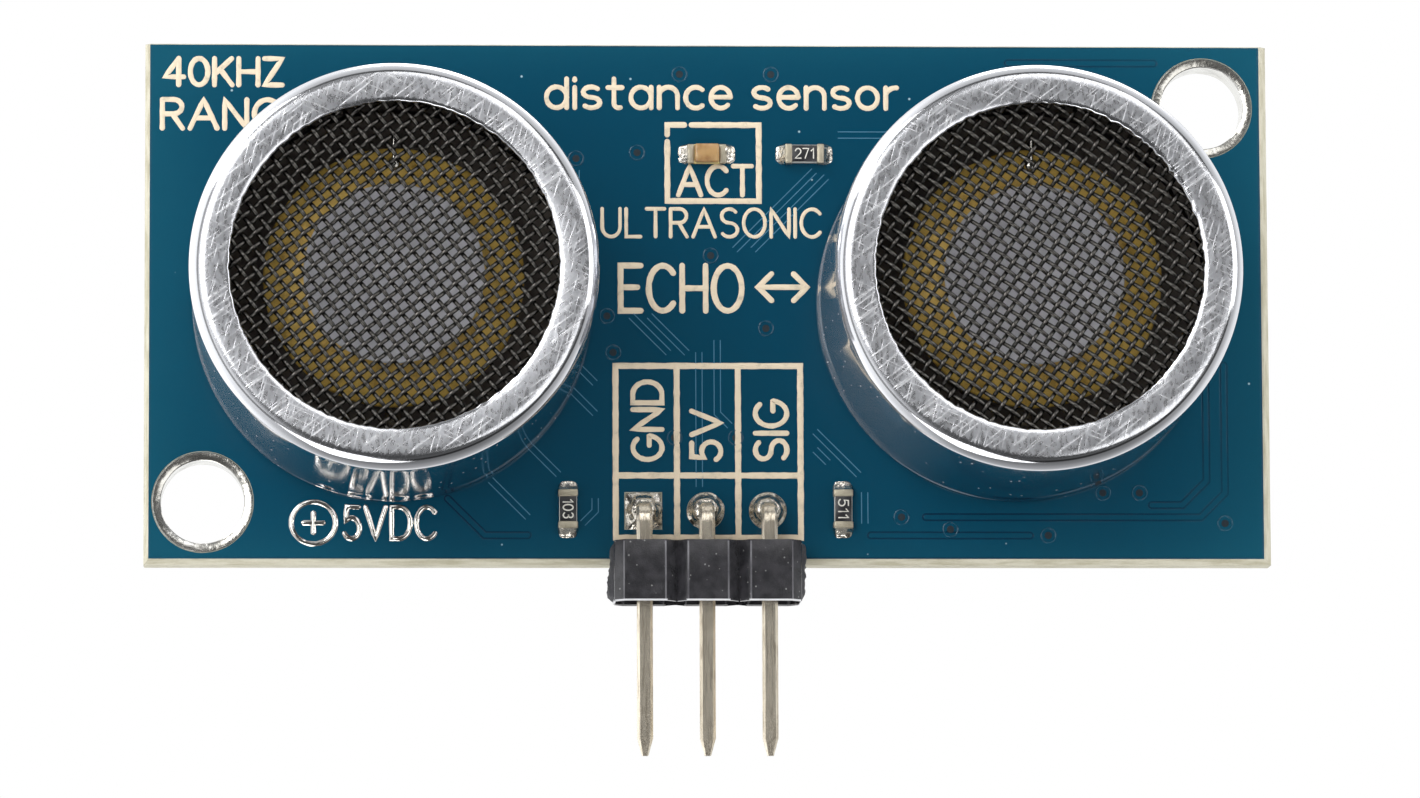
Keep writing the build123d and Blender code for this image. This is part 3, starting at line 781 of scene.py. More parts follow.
class StrokeFont:
    """A plain single-stroke alphabet on a height of 1."""

    GAP = 0.24
    SPACE = 0.45

    def __init__(self) -> None:
        """Draws the glyphs, each as its width and its strokes."""
        ring = arc((0.42, 0.5), (0.42, 0.5), 90, 450, 28)
        zero = arc((0.32, 0.5), (0.32, 0.5), 90, 450, 26)
        bowl = arc((0.3, 0.36), (0.3, 0.36), 0, 360, 22)
        upper_s = arc((0.32, 0.75), (0.3, 0.25), 35, 270, 12)
        lower_s = arc((0.32, 0.25), (0.32, 0.25), 90, -145, 12)
        self.glyphs: dict[str, tuple[float, list[list[Flat]]]] = {
            "A": (0.86, [[(0, 0), (0.43, 1), (0.86, 0)], [(0.16, 0.36), (0.7, 0.36)]]),
            "C": (0.76, [arc((0.42, 0.5), (0.42, 0.5), 42, 318, 22)]),
            "D": (0.74, [[(0, 0), (0, 1), (0.3, 1)] + arc((0.3, 0.5), (0.44, 0.5), 90, -90, 14)[1:] + [(0, 0)]]),
            "E": (0.6, [[(0.6, 1), (0, 1), (0, 0), (0.6, 0)], [(0, 0.52), (0.5, 0.52)]]),
            "G": (0.82, [arc((0.42, 0.5), (0.42, 0.5), 45, 350, 24) + [(0.82, 0.44), (0.5, 0.44)]]),
            "H": (0.7, [[(0, 0), (0, 1)], [(0.7, 0), (0.7, 1)], [(0, 0.5), (0.7, 0.5)]]),
            "I": (0.0, [[(0, 0), (0, 1)]]),
            "K": (0.64, [[(0, 0), (0, 1)], [(0.62, 1), (0, 0.4)], [(0.2, 0.6), (0.64, 0)]]),
            "L": (0.56, [[(0, 1), (0, 0), (0.56, 0)]]),
            "N": (0.7, [[(0, 0), (0, 1), (0.7, 0), (0.7, 1)]]),
            "O": (0.84, [ring]),
            "R": (0.64, [[(0, 0), (0, 1)], [(0, 1), (0.36, 1)] + arc((0.36, 0.75), (0.26, 0.25), 90, -90, 10)[1:]
                         + [(0, 0.5)], [(0.32, 0.5), (0.64, 0)]]),
            "S": (0.64, [upper_s + lower_s[1:]]),
            "T": (0.7, [[(0, 1), (0.7, 1)], [(0.35, 1), (0.35, 0)]]),
            "U": (0.7, [[(0, 1)] + arc((0.35, 0.35), (0.35, 0.35), 180, 360, 12) + [(0.7, 1)]]),
            "V": (0.8, [[(0, 1), (0.4, 0), (0.8, 1)]]),
            "Z": (0.64, [[(0, 1), (0.64, 1), (0, 0), (0.64, 0)]]),
            "0": (0.64, [zero]),
            "1": (0.34, [[(0.06, 0.76), (0.3, 1), (0.3, 0)]]),
            "2": (0.62, [arc((0.31, 0.7), (0.3, 0.3), 165, -38, 12) + [(0, 0), (0.62, 0)]]),
            "3": (0.6, [arc((0.3, 0.76), (0.27, 0.24), 150, -90, 10) + arc((0.3, 0.27), (0.3, 0.27), 90, -150, 10)]),
            "4": (0.68, [[(0.5, 0), (0.5, 1)], [(0.5, 1), (0, 0.3), (0.68, 0.3)]]),
            "5": (0.6, [[(0.56, 1), (0.1, 1), (0.05, 0.56)] + arc((0.28, 0.33), (0.32, 0.33), 120, -150, 14)]),
            "7": (0.6, [[(0, 1), (0.6, 1), (0.22, 0)]]),
            "d": (0.6, [bowl, [(0.6, 0), (0.6, 1)]]),
            "i": (0.0, [[(0, 0), (0, 0.7)], [(0, 0.95), (0, 1.0)]]),
            "s": (0.5, [arc((0.25, 0.54), (0.24, 0.18), 40, 270, 10) + arc((0.25, 0.18), (0.25, 0.18), 90, -140, 10)]),
            "t": (0.44, [[(0.18, 1), (0.18, 0.16)] + arc((0.32, 0.16), (0.14, 0.16), 180, 290, 6), [(0, 0.7), (0.42, 0.7)]]),
            "a": (0.6, [bowl, [(0.6, 0), (0.6, 0.72)]]),
            "n": (0.54, [[(0, 0), (0, 0.72)], arc((0.27, 0.42), (0.27, 0.3), 180, 0, 12) + [(0.54, 0)]]),
            "c": (0.5, [arc((0.3, 0.36), (0.3, 0.36), 50, 310, 18)]),
            "e": (0.58, [[(0.04, 0.38), (0.58, 0.38)], arc((0.3, 0.36), (0.29, 0.36), 4, 315, 20)]),
            "o": (0.6, [bowl]),
            "r": (0.34, [[(0, 0), (0, 0.72)], arc((0.3, 0.42), (0.3, 0.3), 180, 85, 8)]),
        }

    def strokes(self, text: str, low: Flat, high: Flat, turned: bool = False) -> list[list[Flat]]:
        """Returns the strokes of a word fitted between two corners.

        Args:
            text: the word.
            low: the lower left corner, in x and z.
            high: the upper right corner.
            turned: whether it reads upwards.

        Returns:
            Lines of points in x and z.
        """
        pen, made = 0.0, []
        for letter in text:
            if letter == " ":
                pen += self.SPACE
                continue
            width, lines = self.glyphs[letter]
            made += [[(pen + u, v) for u, v in line] for line in lines]
            pen += width + self.GAP
        pen -= self.GAP
        wide, tall = high[0] - low[0], high[1] - low[1]
        if turned:
            return [[(high[0] - v * wide, low[1] + u * tall / pen) for u, v in line] for line in made]
        return [[(low[0] + u * wide / pen, low[1] + v * tall) for u, v in line] for line in made]


FONT = StrokeFont()


# ---------------------------------------------------------------- geometry-node pieces


def node_piece(name: str, tree: bpy.types.NodeTree, values: dict[str, Any], base: bpy.types.Mesh | None = None,
               sharp: float = 60.0) -> bpy.types.Object:
    """Makes a piece from a geometry node tree, as a plain mesh.

    Args:
        name: the piece's name.
        tree: the node tree.
        values: its named inputs.
        base: the mesh that it reads, if any.
        sharp: the angle in degrees past which an edge stays crisp.

    Returns:
        The object, at the origin, riding on the body.
    """
    holder = bpy.data.objects.new(name + "_maker", base or bpy.data.meshes.new(name + "_base"))
    bpy.context.scene.collection.objects.link(holder)
    modifier = holder.modifiers.new("maker", "NODES")
    modifier.node_group = tree
    for item in tree.interface.items_tree:
        if item.in_out == "INPUT" and item.name in values:
            modifier[item.identifier] = values[item.name]
    graph = bpy.context.evaluated_depsgraph_get()
    mesh = bpy.data.meshes.new_from_object(holder.evaluated_get(graph))
    bpy.data.objects.remove(holder)
    return place(name, mesh, sharp)


def node_tree(name: str, inputs: dict[str, str]) -> tuple[Graph, bpy.types.Node, bpy.types.Node]:
    """Returns a new geometry node graph with its input and output nodes.

    Args:
        name: the tree's name.
        inputs: the kind of each named input, such as Float.
    """
    tree = bpy.data.node_groups.new(name, "GeometryNodeTree")
    tree.interface.new_socket(name="Geometry", in_out="INPUT", socket_type="NodeSocketGeometry")
    for label, kind in inputs.items():
        tree.interface.new_socket(name=label, in_out="INPUT", socket_type="NodeSocket" + kind)
    tree.interface.new_socket(name="Geometry", in_out="OUTPUT", socket_type="NodeSocketGeometry")
    graph = Graph(tree)
    return graph, graph.node("NodeGroupInput"), graph.node("NodeGroupOutput")


@dataclass
class WovenScreen:
    """The wire cloth behind a can's opening: wires that pass over and under each other."""

    pitch: float = 0.41
    weft_pitch: float = 0.478
    wire: float = 0.083
    wave: float = 0.08
    radius: float = 7.42
    steps: int = 4

    def strands(self, graph: Graph, inputs: dict[str, Value], spacing: str, cross: str, sign: int) -> Value:
        """Builds one way of wires: straight lines, waved by their place and trimmed to a disc.

        Args:
            graph: the tree's graph.
            inputs: its named inputs.
            spacing: the input that holds the distance between these wires.
            cross: the input that holds the distance between the wires that they cross.
            sign: 1 or -1, which of the two ways goes over first.
        """
        gap, over = inputs[spacing], inputs[cross]
        half = (inputs["Wires"] - 1) / 2 * gap
        reach = (inputs["Points"] - 1) / 2 * (over / self.steps)
        ends = [graph.value("ShaderNodeCombineXYZ", sockets={0: x}) for x in (reach * -1, reach)]
        line = graph.node("GeometryNodeCurvePrimitiveLine", sockets={0: ends[0], 1: ends[1]})
        line = graph.node("GeometryNodeResampleCurve", {"mode": "COUNT"}, {0: line.outputs[0], 2: inputs["Points"]})
        start = graph.value("ShaderNodeCombineXYZ", sockets={1: half * -1})
        offset = graph.value("ShaderNodeCombineXYZ", sockets={1: gap})
        places = graph.node("GeometryNodeMeshLine", {"mode": "OFFSET"},
                            {"Count": inputs["Wires"], "Start Location": start, "Offset": offset})
        rows = graph.node("GeometryNodeInstanceOnPoints", sockets={0: places.outputs[0], 2: line.outputs[0]})
        rows = graph.node("GeometryNodeRealizeInstances", sockets={0: rows.outputs[0]})
        position = graph.node("GeometryNodeInputPosition").outputs[0]
        split = graph.node("ShaderNodeSeparateXYZ", sockets={0: position})
        x, y = Value(graph, split.outputs[0]), Value(graph, split.outputs[1])
        outside = graph.value("ShaderNodeMath", {"operation": "GREATER_THAN"},
                              {0: (x * x + y * y).unary("SQRT"), 1: inputs["Radius"]})
        wave = ((x / over + y / gap) * math.pi).unary("COSINE") * inputs["Wave"] * sign
        lift = graph.value("ShaderNodeCombineXYZ", sockets={2: wave})
        waved = graph.node("GeometryNodeSetPosition", sockets={0: rows.outputs[0], "Offset": lift})
        trimmed = graph.node("GeometryNodeDeleteGeometry", {"domain": "POINT"}, {0: waved.outputs[0], 1: outside})
        return Value(graph, trimmed.outputs[0])

    def tree(self) -> bpy.types.NodeTree:
        """Builds the weave: two ways of waved wires, given thickness and stood upright."""
        kinds = {"Warp": "Float", "Weft": "Float", "Wire": "Float", "Wave": "Float", "Radius": "Float",
                 "Turn": "Float", "Wires": "Int", "Points": "Int", "Centre": "Vector", "Finish": "Material"}
        graph, given, result = node_tree("woven_screen", kinds)
        inputs = {name: Value(graph, given.outputs[name]) for name in kinds}
        warp = self.strands(graph, inputs, "Warp", "Weft", 1)
        weft = self.strands(graph, inputs, "Weft", "Warp", -1)
        weft = graph.value("GeometryNodeTransform", sockets={0: weft, 2: (0.0, 0.0, math.pi / 2)})
        both = graph.node("GeometryNodeJoinGeometry")
        for way in (warp, weft):
            graph.feed(both.inputs[0], way)
        section = graph.node("GeometryNodeCurvePrimitiveCircle", sockets={0: 6, 4: inputs["Wire"]})
        cloth = graph.node("GeometryNodeCurveToMesh", sockets={0: both.outputs[0], 1: section.outputs[0],
                                                               "Fill Caps": True})
        turn = graph.value("ShaderNodeCombineXYZ", sockets={2: inputs["Turn"]})
        turned = graph.node("GeometryNodeTransform", sockets={0: cloth.outputs[0], 2: turn})
        upright = graph.node("GeometryNodeTransform",
                             sockets={0: turned.outputs[0], 1: inputs["Centre"], 2: (math.pi / 2, 0, 0)})
        whole = graph.node("GeometryNodeRealizeInstances", sockets={0: upright.outputs[0]})
        dressed = graph.node("GeometryNodeSetMaterial", sockets={0: whole.outputs[0], 2: inputs["Finish"]})
        graph.feed(result.inputs[0], dressed.outputs[0])
        return graph.tree

    def make(self, name: str, x: float, y: float, turn: float) -> bpy.types.Object:
        """Makes the cloth.

        Args:
            name: the piece's name.
            x: the capsule's axis.
            y: the depth of the middle of the cloth.
            turn: the angle in degrees of its closer-set wires.
        """
        wires = 2 * int(self.radius / self.pitch) + 1
        values = {"Warp": self.pitch * MM, "Weft": self.weft_pitch * MM, "Wire": self.wire * MM,
                  "Wave": self.wave * MM, "Radius": self.radius * MM, "Turn": math.radians(turn), "Wires": wires,
                  "Points": (wires + 1) * self.steps + 1, "Centre": (x * MM, y * MM, 0.0),
                  "Finish": WIRE.material()}
        return node_piece(name, self.tree(), values)


@dataclass
class Vias:
    """Small plated holes closed by solder mask: a raised ring round a dimple painted dark as the shade in the hole."""

    ring: float = 0.3
    bead: float = 0.03
    hole: float = 0.15

    def tree(self) -> bpy.types.NodeTree:
        """Builds a ring and a dimple on each given point, the dimple painted as shade, flat in the board's plane."""
        kinds = {"Ring": "Float", "Bead": "Float", "Hole": "Float", "Mask": "Material", "Shade": "Material"}
        graph, given, result = node_tree("vias", kinds)
        circle = graph.node("GeometryNodeCurvePrimitiveCircle", sockets={0: 20, 4: given.outputs["Ring"]})
        bead = graph.node("GeometryNodeCurvePrimitiveCircle", sockets={0: 6, 4: given.outputs["Bead"]})
        rim = graph.node("GeometryNodeCurveToMesh", sockets={0: circle.outputs[0], 1: bead.outputs[0]})
        rim = graph.node("GeometryNodeTransform", sockets={0: rim.outputs[0], 3: (1, 1, 0.5)})
        rim = graph.node("GeometryNodeSetMaterial", sockets={0: rim.outputs[0], 2: given.outputs["Mask"]})
        dimple = graph.node("GeometryNodeMeshCircle", {"fill_type": "NGON"},
                            {"Vertices": 20, "Radius": given.outputs["Hole"]})
        dimple = graph.node("GeometryNodeSetMaterial", sockets={0: dimple.outputs[0], 2: given.outputs["Shade"]})
        both = graph.node("GeometryNodeJoinGeometry")
        for part in (rim, dimple):
            graph.feed(both.inputs[0], part.outputs[0])
        upright = graph.node("GeometryNodeTransform", sockets={0: both.outputs[0], 2: (math.pi / 2, 0, 0)})
        spread = graph.node("GeometryNodeInstanceOnPoints", sockets={0: given.outputs[0], 2: upright.outputs[0]})
        whole = graph.node("GeometryNodeRealizeInstances", sockets={0: spread.outputs[0]})
        graph.feed(result.inputs[0], whole.outputs[0])
        return graph.tree

    def make(self, name: str, places: Sequence[Flat], y: float) -> bpy.types.Object:
        """Makes the vias of one face at places in x and z, on a surface at depth y."""
        points = bpy.data.meshes.new(name + "_points")
        points.from_pydata([(x * MM, y * MM, z * MM) for x, z in places], [], [])
        values = {"Ring": self.ring * MM, "Bead": self.bead * MM, "Hole": self.hole * MM,
                  "Mask": MASK.material(), "Shade": VIA_SHADE.material()}
        return node_piece(name, self.tree(), values, points)


# Painted shade: the near-black disc in each via stands for the shaded hole under the mask.
VIA_SHADE = Moulded("via_painted_shade", linear(4, 20, 30), linear(14, 40, 52), 0.4, 9.0, 0.006, 0.0)


# ---------------------------------------------------------------- capsules


@dataclass
class Capsule:
    """One ultrasonic capsule: can, wire cloth, brass plate and cone."""

    side: str
    lip: float = 1.6
    wall: float = 0.5
    rim_round: float = 0.68
    foot_round: float = 0.12
    steps: int = 288
    seed: float = 1.0
    screen_turn: float = 0.0
    burred: tuple[float, float] = (0.0, 0.0)

    def __post_init__(self) -> None:
        """Reads the capsule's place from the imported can."""
        low, high = box_mm(f"{self.side}_can")
        self.x = (low.x + high.x) / 2
        self.front, self.back = low.y, high.y
        self.radius = (high.x - low.x) / 2

    def build(self) -> None:
        """Builds and dresses all the capsule's pieces."""
        self.can()
        self.screen()
        self.bender()

    def can(self) -> None:
        """Turns the drawn can, with a slightly ragged punched opening and a rolled outer edge."""
        outer, bore, opening = self.radius, self.radius - self.wall, self.radius - self.lip
        shoulder = self.front + self.rim_round
        outline = [(bore, self.back), (bore, self.front + self.wall + 0.3)]
        outline += arc((bore - 0.3, self.front + self.wall + 0.3), (0.3, -0.3), 0, 90, 4)[1:]
        outline += [(opening + 0.05, self.front + self.wall), (opening, self.front + self.wall - 0.05)]
        outline += [(opening, self.front + 0.14)]
        outline += arc((opening + 0.09, self.front + 0.13), (-0.09, -0.09), 8, 76, 4)
        outline += [(opening + 0.2, self.front + 0.022), (opening + 0.45, self.front + 0.012),
                    (opening + 0.7, self.front)]
        outline += arc((outer - self.rim_round, shoulder), (self.rim_round, -self.rim_round), 90, 0, 14)
        outline += [(outer, self.front + d) for d in (1.6, 3.2, 5.5, 8.0, 10.0)]
        flare = self.foot_round / 2
        outline += [(outer, self.back - 5 * flare), (outer + flare * 0.7, self.back - 4 * flare),
                    (outer + flare, self.back - 3 * flare), (outer + flare, self.back - flare),
                    (outer + flare * 0.6, self.back)]

        def reach(angle: float, radius: float, depth: float) -> tuple[float, float]:
            """Roughens the opening's edge and gives the face a faint dish."""
            near = max(0.0, 1 - abs(radius - opening) / 0.2)
            if depth > self.front + 0.35:
                near = 0.0
            rag = around(angle, 26.0, self.seed) * 0.05 + around(angle, 70.0, self.seed + 9) * 0.03
            if self.burred[0] < math.degrees(angle) % 360 < self.burred[1]:
                rag -= abs(around(angle, 150.0, self.seed + 20)) * 0.2
            dent = around(angle, 2.2, self.seed + 3) * 0.012 if depth < self.front + 0.6 else 0.0
            return radius + near * rag, depth + abs(dent)

        form = Form()
        form.lathe((self.x, 0.0), outline, self.steps, reach=reach)
        finish = CanMetal(f"{self.side}_can_metal", self.x, self.front)
        made = form.piece(f"{self.side}_drawn_can", [finish], 50.0)
        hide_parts(f"{self.side}_can")

    def screen(self) -> None:
        """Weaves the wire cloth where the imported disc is."""
        low, high = box_mm(f"{self.side}_screen")
        cloth = WovenScreen()
        made = cloth.make(f"{self.side}_wire_cloth", self.x, (low.y + high.y) / 2 + 0.03, self.screen_turn)
        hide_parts(f"{self.side}_screen")

    def bender(self) -> None:
        """Turns the brass plate with a softened edge and the thin-walled cone on it."""
        low, high = box_mm(f"{self.side}_plate")
        radius, front, back = (high.x - low.x) / 2, low.y, high.y
        outline = [(0.0, front), (radius * 0.5, front), (radius - 0.06, front), (radius, front + 0.06)]
        outline += [(radius, back - 0.06), (radius - 0.06, back), (0.0, back)]
        form = Form()
        form.lathe((self.x, 0.0), outline, 128, closed=False)
        plate = form.piece(f"{self.side}_brass_plate", [BRASS], 50.0)
        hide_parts(f"{self.side}_plate")
        low, high = box_mm(f"{self.side}_cone")
        mouth, top, foot, wall, throat = (high.x - low.x) / 2, low.y, high.y, 0.12, 0.8
        outline = [(0.0, foot), (throat, foot)]
        outline += [(throat + (mouth - throat) * t, foot - (foot - top) * t ** 0.9) for t in (0.25, 0.5, 0.75)]
        outline += [(mouth, top + 0.03), (mouth - 0.03, top), (mouth - wall + 0.02, top)]
        outline += [(throat + (mouth - throat) * t - wall, foot - (foot - top) * t ** 0.9) for t in (0.75, 0.5, 0.25)]
        outline += [(throat - wall, foot - wall), (0.0, foot - wall)]
        form = Form()
        form.lathe((self.x, 0.0), outline, 128, closed=False)
        cone = form.piece(f"{self.side}_horn", [CONE], 50.0)
        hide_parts(f"{self.side}_cone")


# ---------------------------------------------------------------- board


@dataclass
class Track:
    """A copper track seen through the mask: a bent line between grooves cut in the pour."""

    points: list[Flat]
    half: float = 0.1
    gap: float = 0.06

    def loops(self) -> list[list[Flat]]:
        """Returns the groove's outer edge and the track's own edge."""
        return [offset_line(self.points, self.half + self.gap), offset_line(self.points, self.half)]


@dataclass
class Board:
    """The board's coatings: solder mask on both faces, plated holes and vias."""

    base_rise: float = 0.012
    pour_rise: float = 0.034
    margin_left: float = 0.2
    margin_right: float = 0.3
    margin_low: float = 0.24
    margin_top: float = 0.03
    middle: float = 9.0
    front_vias: tuple[Flat, ...] = (
        (2.75, 9.5), (-1.0, 9.5), (-2.75, 6.25), (-5.25, 6.0), (0.25, 2.0), (-4.0, -0.5), (-3.75, -2.0),
        (-1.25, -5.5), (1.25, -5.5), (8.0, -8.75), (16.25, -7.75), (17.75, -7.75), (14.0, -9.5), (21.25, -9.0),
        (2.5, -1.0), (-8.5, 4.5), (10.0, -9.25),
    )
    front_tracks: tuple[tuple[Flat, ...], ...] = (
        ((20.5, -2.5), (20.5, -7.25), (19.5, -8.25), (18.25, -8.25)),
        ((21.25, -2.5), (21.25, -7.75), (20.25, -8.75), (9.0, -8.75)),
        ((6.75, -9.5), (13.25, -9.5)),
        ((-10.5, -8.0), (-9.0, -9.5), (-7.25, -9.5)),
        ((-8.75, -7.25), (-7.25, -8.75)),
        ((1.25, 2.25), (4.5, 5.5)),
        ((2.0, 2.25), (5.0, 5.25)),
        ((5.5, 7.0), (8.25, 7.0)),
        ((-8.25, 4.0), (-7.25, 3.0), (-7.25, -0.5), (-6.25, -1.5), (-4.5, -3.25)),
        ((-5.25, 5.5), (-5.25, 1.25), (-4.5, 0.5)),
        ((-3.0, -0.5), (-1.5, -2.0)),
        ((-2.25, -0.5), (-0.75, -2.0)),
        ((-6.0, -3.0), (-4.5, -4.5)),
        ((-7.5, -5.5), (-6.0, -7.0)),
        ((-4.5, -8.0), (-4.5, -8.5), (-5.0, -9.0)),
        ((4.5, -5.25), (6.25, -7.0)),
        ((4.5, -6.0), (5.0, -6.5)),
        ((6.5, -7.75), (6.5, -9.0)),
        ((5.25, 0.25), (6.0, -0.5), (6.0, -4.25), (7.25, -5.5)),
        ((-0.25, -2.0), (-0.25, -7.5)),
        ((0.5, -1.5), (0.5, -4.5), (1.0, -5.0)),
        ((12.5, 10.0), (18.5, 10.0)),
    )
    rear_vias: tuple[Flat, ...] = (
        (-2.63, 6.0), (4.6, 5.7), (-4.6, 2.6), (4.7, 3.0), (-4.5, -2.7), (4.6, -3.2), (16.2, -7.9), (-16.9, 7.6),
        (9.3, 8.6), (-10.4, 8.4), (17.2, 7.3), (8.1, -8.9), (-9.0, -8.8), (-19.9, -2.0), (20.1, 2.2),
    )
    rear_tracks: tuple[tuple[Flat, ...], ...] = (
        ((-15.0, 8.3), (-10.9, 8.3), (-9.9, 7.3)),
        ((-15.0, 9.2), (-9.6, 9.2), (-8.6, 8.7)),
        ((10.0, 9.0), (15.5, 9.0), (17.2, 7.3)),
        ((16.6, -8.3), (15.6, -9.3), (9.0, -9.3)),
        ((-16.2, -6.4), (-14.6, -8.0), (-9.4, -8.0)),
        ((-17.0, -7.4), (-15.4, -9.0), (-9.5, -9.0)),
        ((20.3, -1.2), (20.3, -5.6), (18.4, -7.5)),
        ((-20.6, 1.0), (-20.6, 5.0), (-18.6, 7.0)),
        ((9.4, 7.0), (13.6, 7.0), (14.6, 8.0)),
        ((-9.4, 3.0), (-14.8, 3.0), (-16.0, 4.2)),
    )

    def build(self) -> None:
        """Builds the coatings, the hole rings and the vias."""
        self.eyelets()
        self.coat("front_solder_mask", Face.FRONT, self.front_tracks)
        self.coat("rear_solder_mask", Face.REAR, self.rear_tracks)
        self.ridges()
        for name, face, places in (("front_vias", Face.FRONT, self.front_vias),
                                   ("rear_vias", Face.REAR, self.rear_vias)):
            made = Vias().make(name, places, surface(face, self.pour_rise + 0.004))

    def inside(self, line: Sequence[Flat]) -> bool:
        """Tells whether a track stays between the capsules."""
        return max(abs(x) for x, _ in line) < self.middle

    def ridges(self) -> None:
        """Lays the ridges that the mask makes along the edges of the middle tracks, coloured pale as a painted
        highlight.
        """
        form = Form()
        ribbon = Ribbon(0.045, 0.012, 0.006)
        for line in self.front_tracks:
            if self.inside(line):
                edge = offset_line(list(line), 0.13)
                middle = len(edge) // 2
                for side in (edge[:len(line)], edge[middle:middle + len(line)]):
                    ribbon.lay(form, side, self.pour_rise - 0.004, Face.FRONT)
        made = form.piece("front_track_ridge_highlights", [MASK_RIDGE_HIGHLIGHT], 45.0)

    def eyelets(self) -> None:
        """Turns the tinned rings of the mounting holes and their barrels."""
        low, high = box_mm("mounting_eyelets")
        land = 2.05
        holes = ((low.x + land, low.z + land), (high.x - land, high.z - land))
        front, back = low.y, high.y
        outline = [(1.7, front + 0.03), (1.74, front), (land - 0.03, front), (land, front + 0.03), (land, 0.0),
                   (1.75, 0.0), (1.75, back - 0.05), (land, back - 0.05), (land, back - 0.02),
                   (land - 0.03, back), (1.74, back), (1.7, back - 0.03)]
        form = Form()
        for number, hole in enumerate(holes):
            def reach(angle: float, radius: float, depth: float, seed: float = 4.0 + number) -> tuple[float, float]:
                """Lets the tin thicken and thin round the ring."""
                flow = around(angle, 3.0, seed) * 0.012
                return radius - (flow if radius < 1.75 else 0.0), depth

            form.lathe(hole, outline, 96, reach=reach)
        made = form.piece("hole_rings", [BARREL], 40.0)
        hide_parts("mounting_eyelets")

    def openings(self, face: Face) -> list[list[Flat]]:
        """Returns the mask's openings round the holes and pads of one face."""
        loops = []
        low, high = box_mm("mounting_eyelets")
        for x, z in ((low.x + 2.05, low.z + 2.05), (high.x - 2.05, high.z - 2.05)):
            loops.append(arc((x, z), (2.08, 2.08), 2.3, 362.3, 61)[:-1])
        low, high = box_mm("header_pads")
        row = (low.z + high.z) / 2
        for pin in ("ground_pin", "supply_pin", "signal_pin"):
            corner, far = box_mm(pin)
            x = (corner.x + far.x) / 2
            reach = 0.77 if face is Face.FRONT else 0.85
            if pin == "ground_pin" and face is Face.FRONT:
                loops.append([(x - reach, row - reach), (x + reach, row - reach), (x + reach, row + reach),
                              (x - reach, row + reach)])
            else:
                loops.append(arc((x, row), (reach, reach), 3.1, 363.1, 35)[:-1])
        for side in ("transmitter", "receiver"):
            if face is Face.REAR:
                corner, far = box_mm(f"{side}_solder")
                x = (corner.x + far.x) / 2
                loops += [arc((x, z), (1.1, 1.1), 4.7, 364.7, 39)[:-1] for z in (-5.0, 5.0)]
        return loops

    def coat(self, name: str, face: Face, tracks: Sequence[Sequence[Flat]]) -> None:
        """Lays the mask of one face: a thin coat, and over it the copper pour with grooves along the tracks."""
        low, high = box_mm("circuit_board")
        left, right = low.x + self.margin_left, high.x - self.margin_right
        foot, top = low.z + self.margin_low, high.z - self.margin_top
        edge = [(left, foot), (right, foot), (right, top), (left, top)]
        holes = self.openings(face)
        start = surface(face, 0.0)
        middle = surface(face, self.base_rise)
        end = surface(face, self.pour_rise)
        inset = 0.07
        inner = [(left + inset, foot + inset), (right - inset, foot + inset), (right - inset, top - inset),
                 (left + inset, top - inset)]
        outer = [line for line in tracks if face is Face.REAR or not self.inside(line)]
        grooves = [loop for line in outer for loop in Track(list(line)).loops()]
        coat = flat_sheet([edge, *holes], start, middle, 0.004, MASK_GAP)
        pour = flat_sheet([inner, *holes, *grooves], middle, end, 0.009, MASK)
        made = place(name, joined_mesh([coat, pour]), 30.0)
        for polygon in made.data.polygons:
            polygon.use_smooth = abs(polygon.normal.y) < 0.99


def surface(face: Face, rise: float) -> float:
    """Returns the depth y of a surface that stands a little off one face of the board, in millimetres."""
    low, high = box_mm("circuit_board")
    return low.y - rise if face is Face.FRONT else high.y + rise


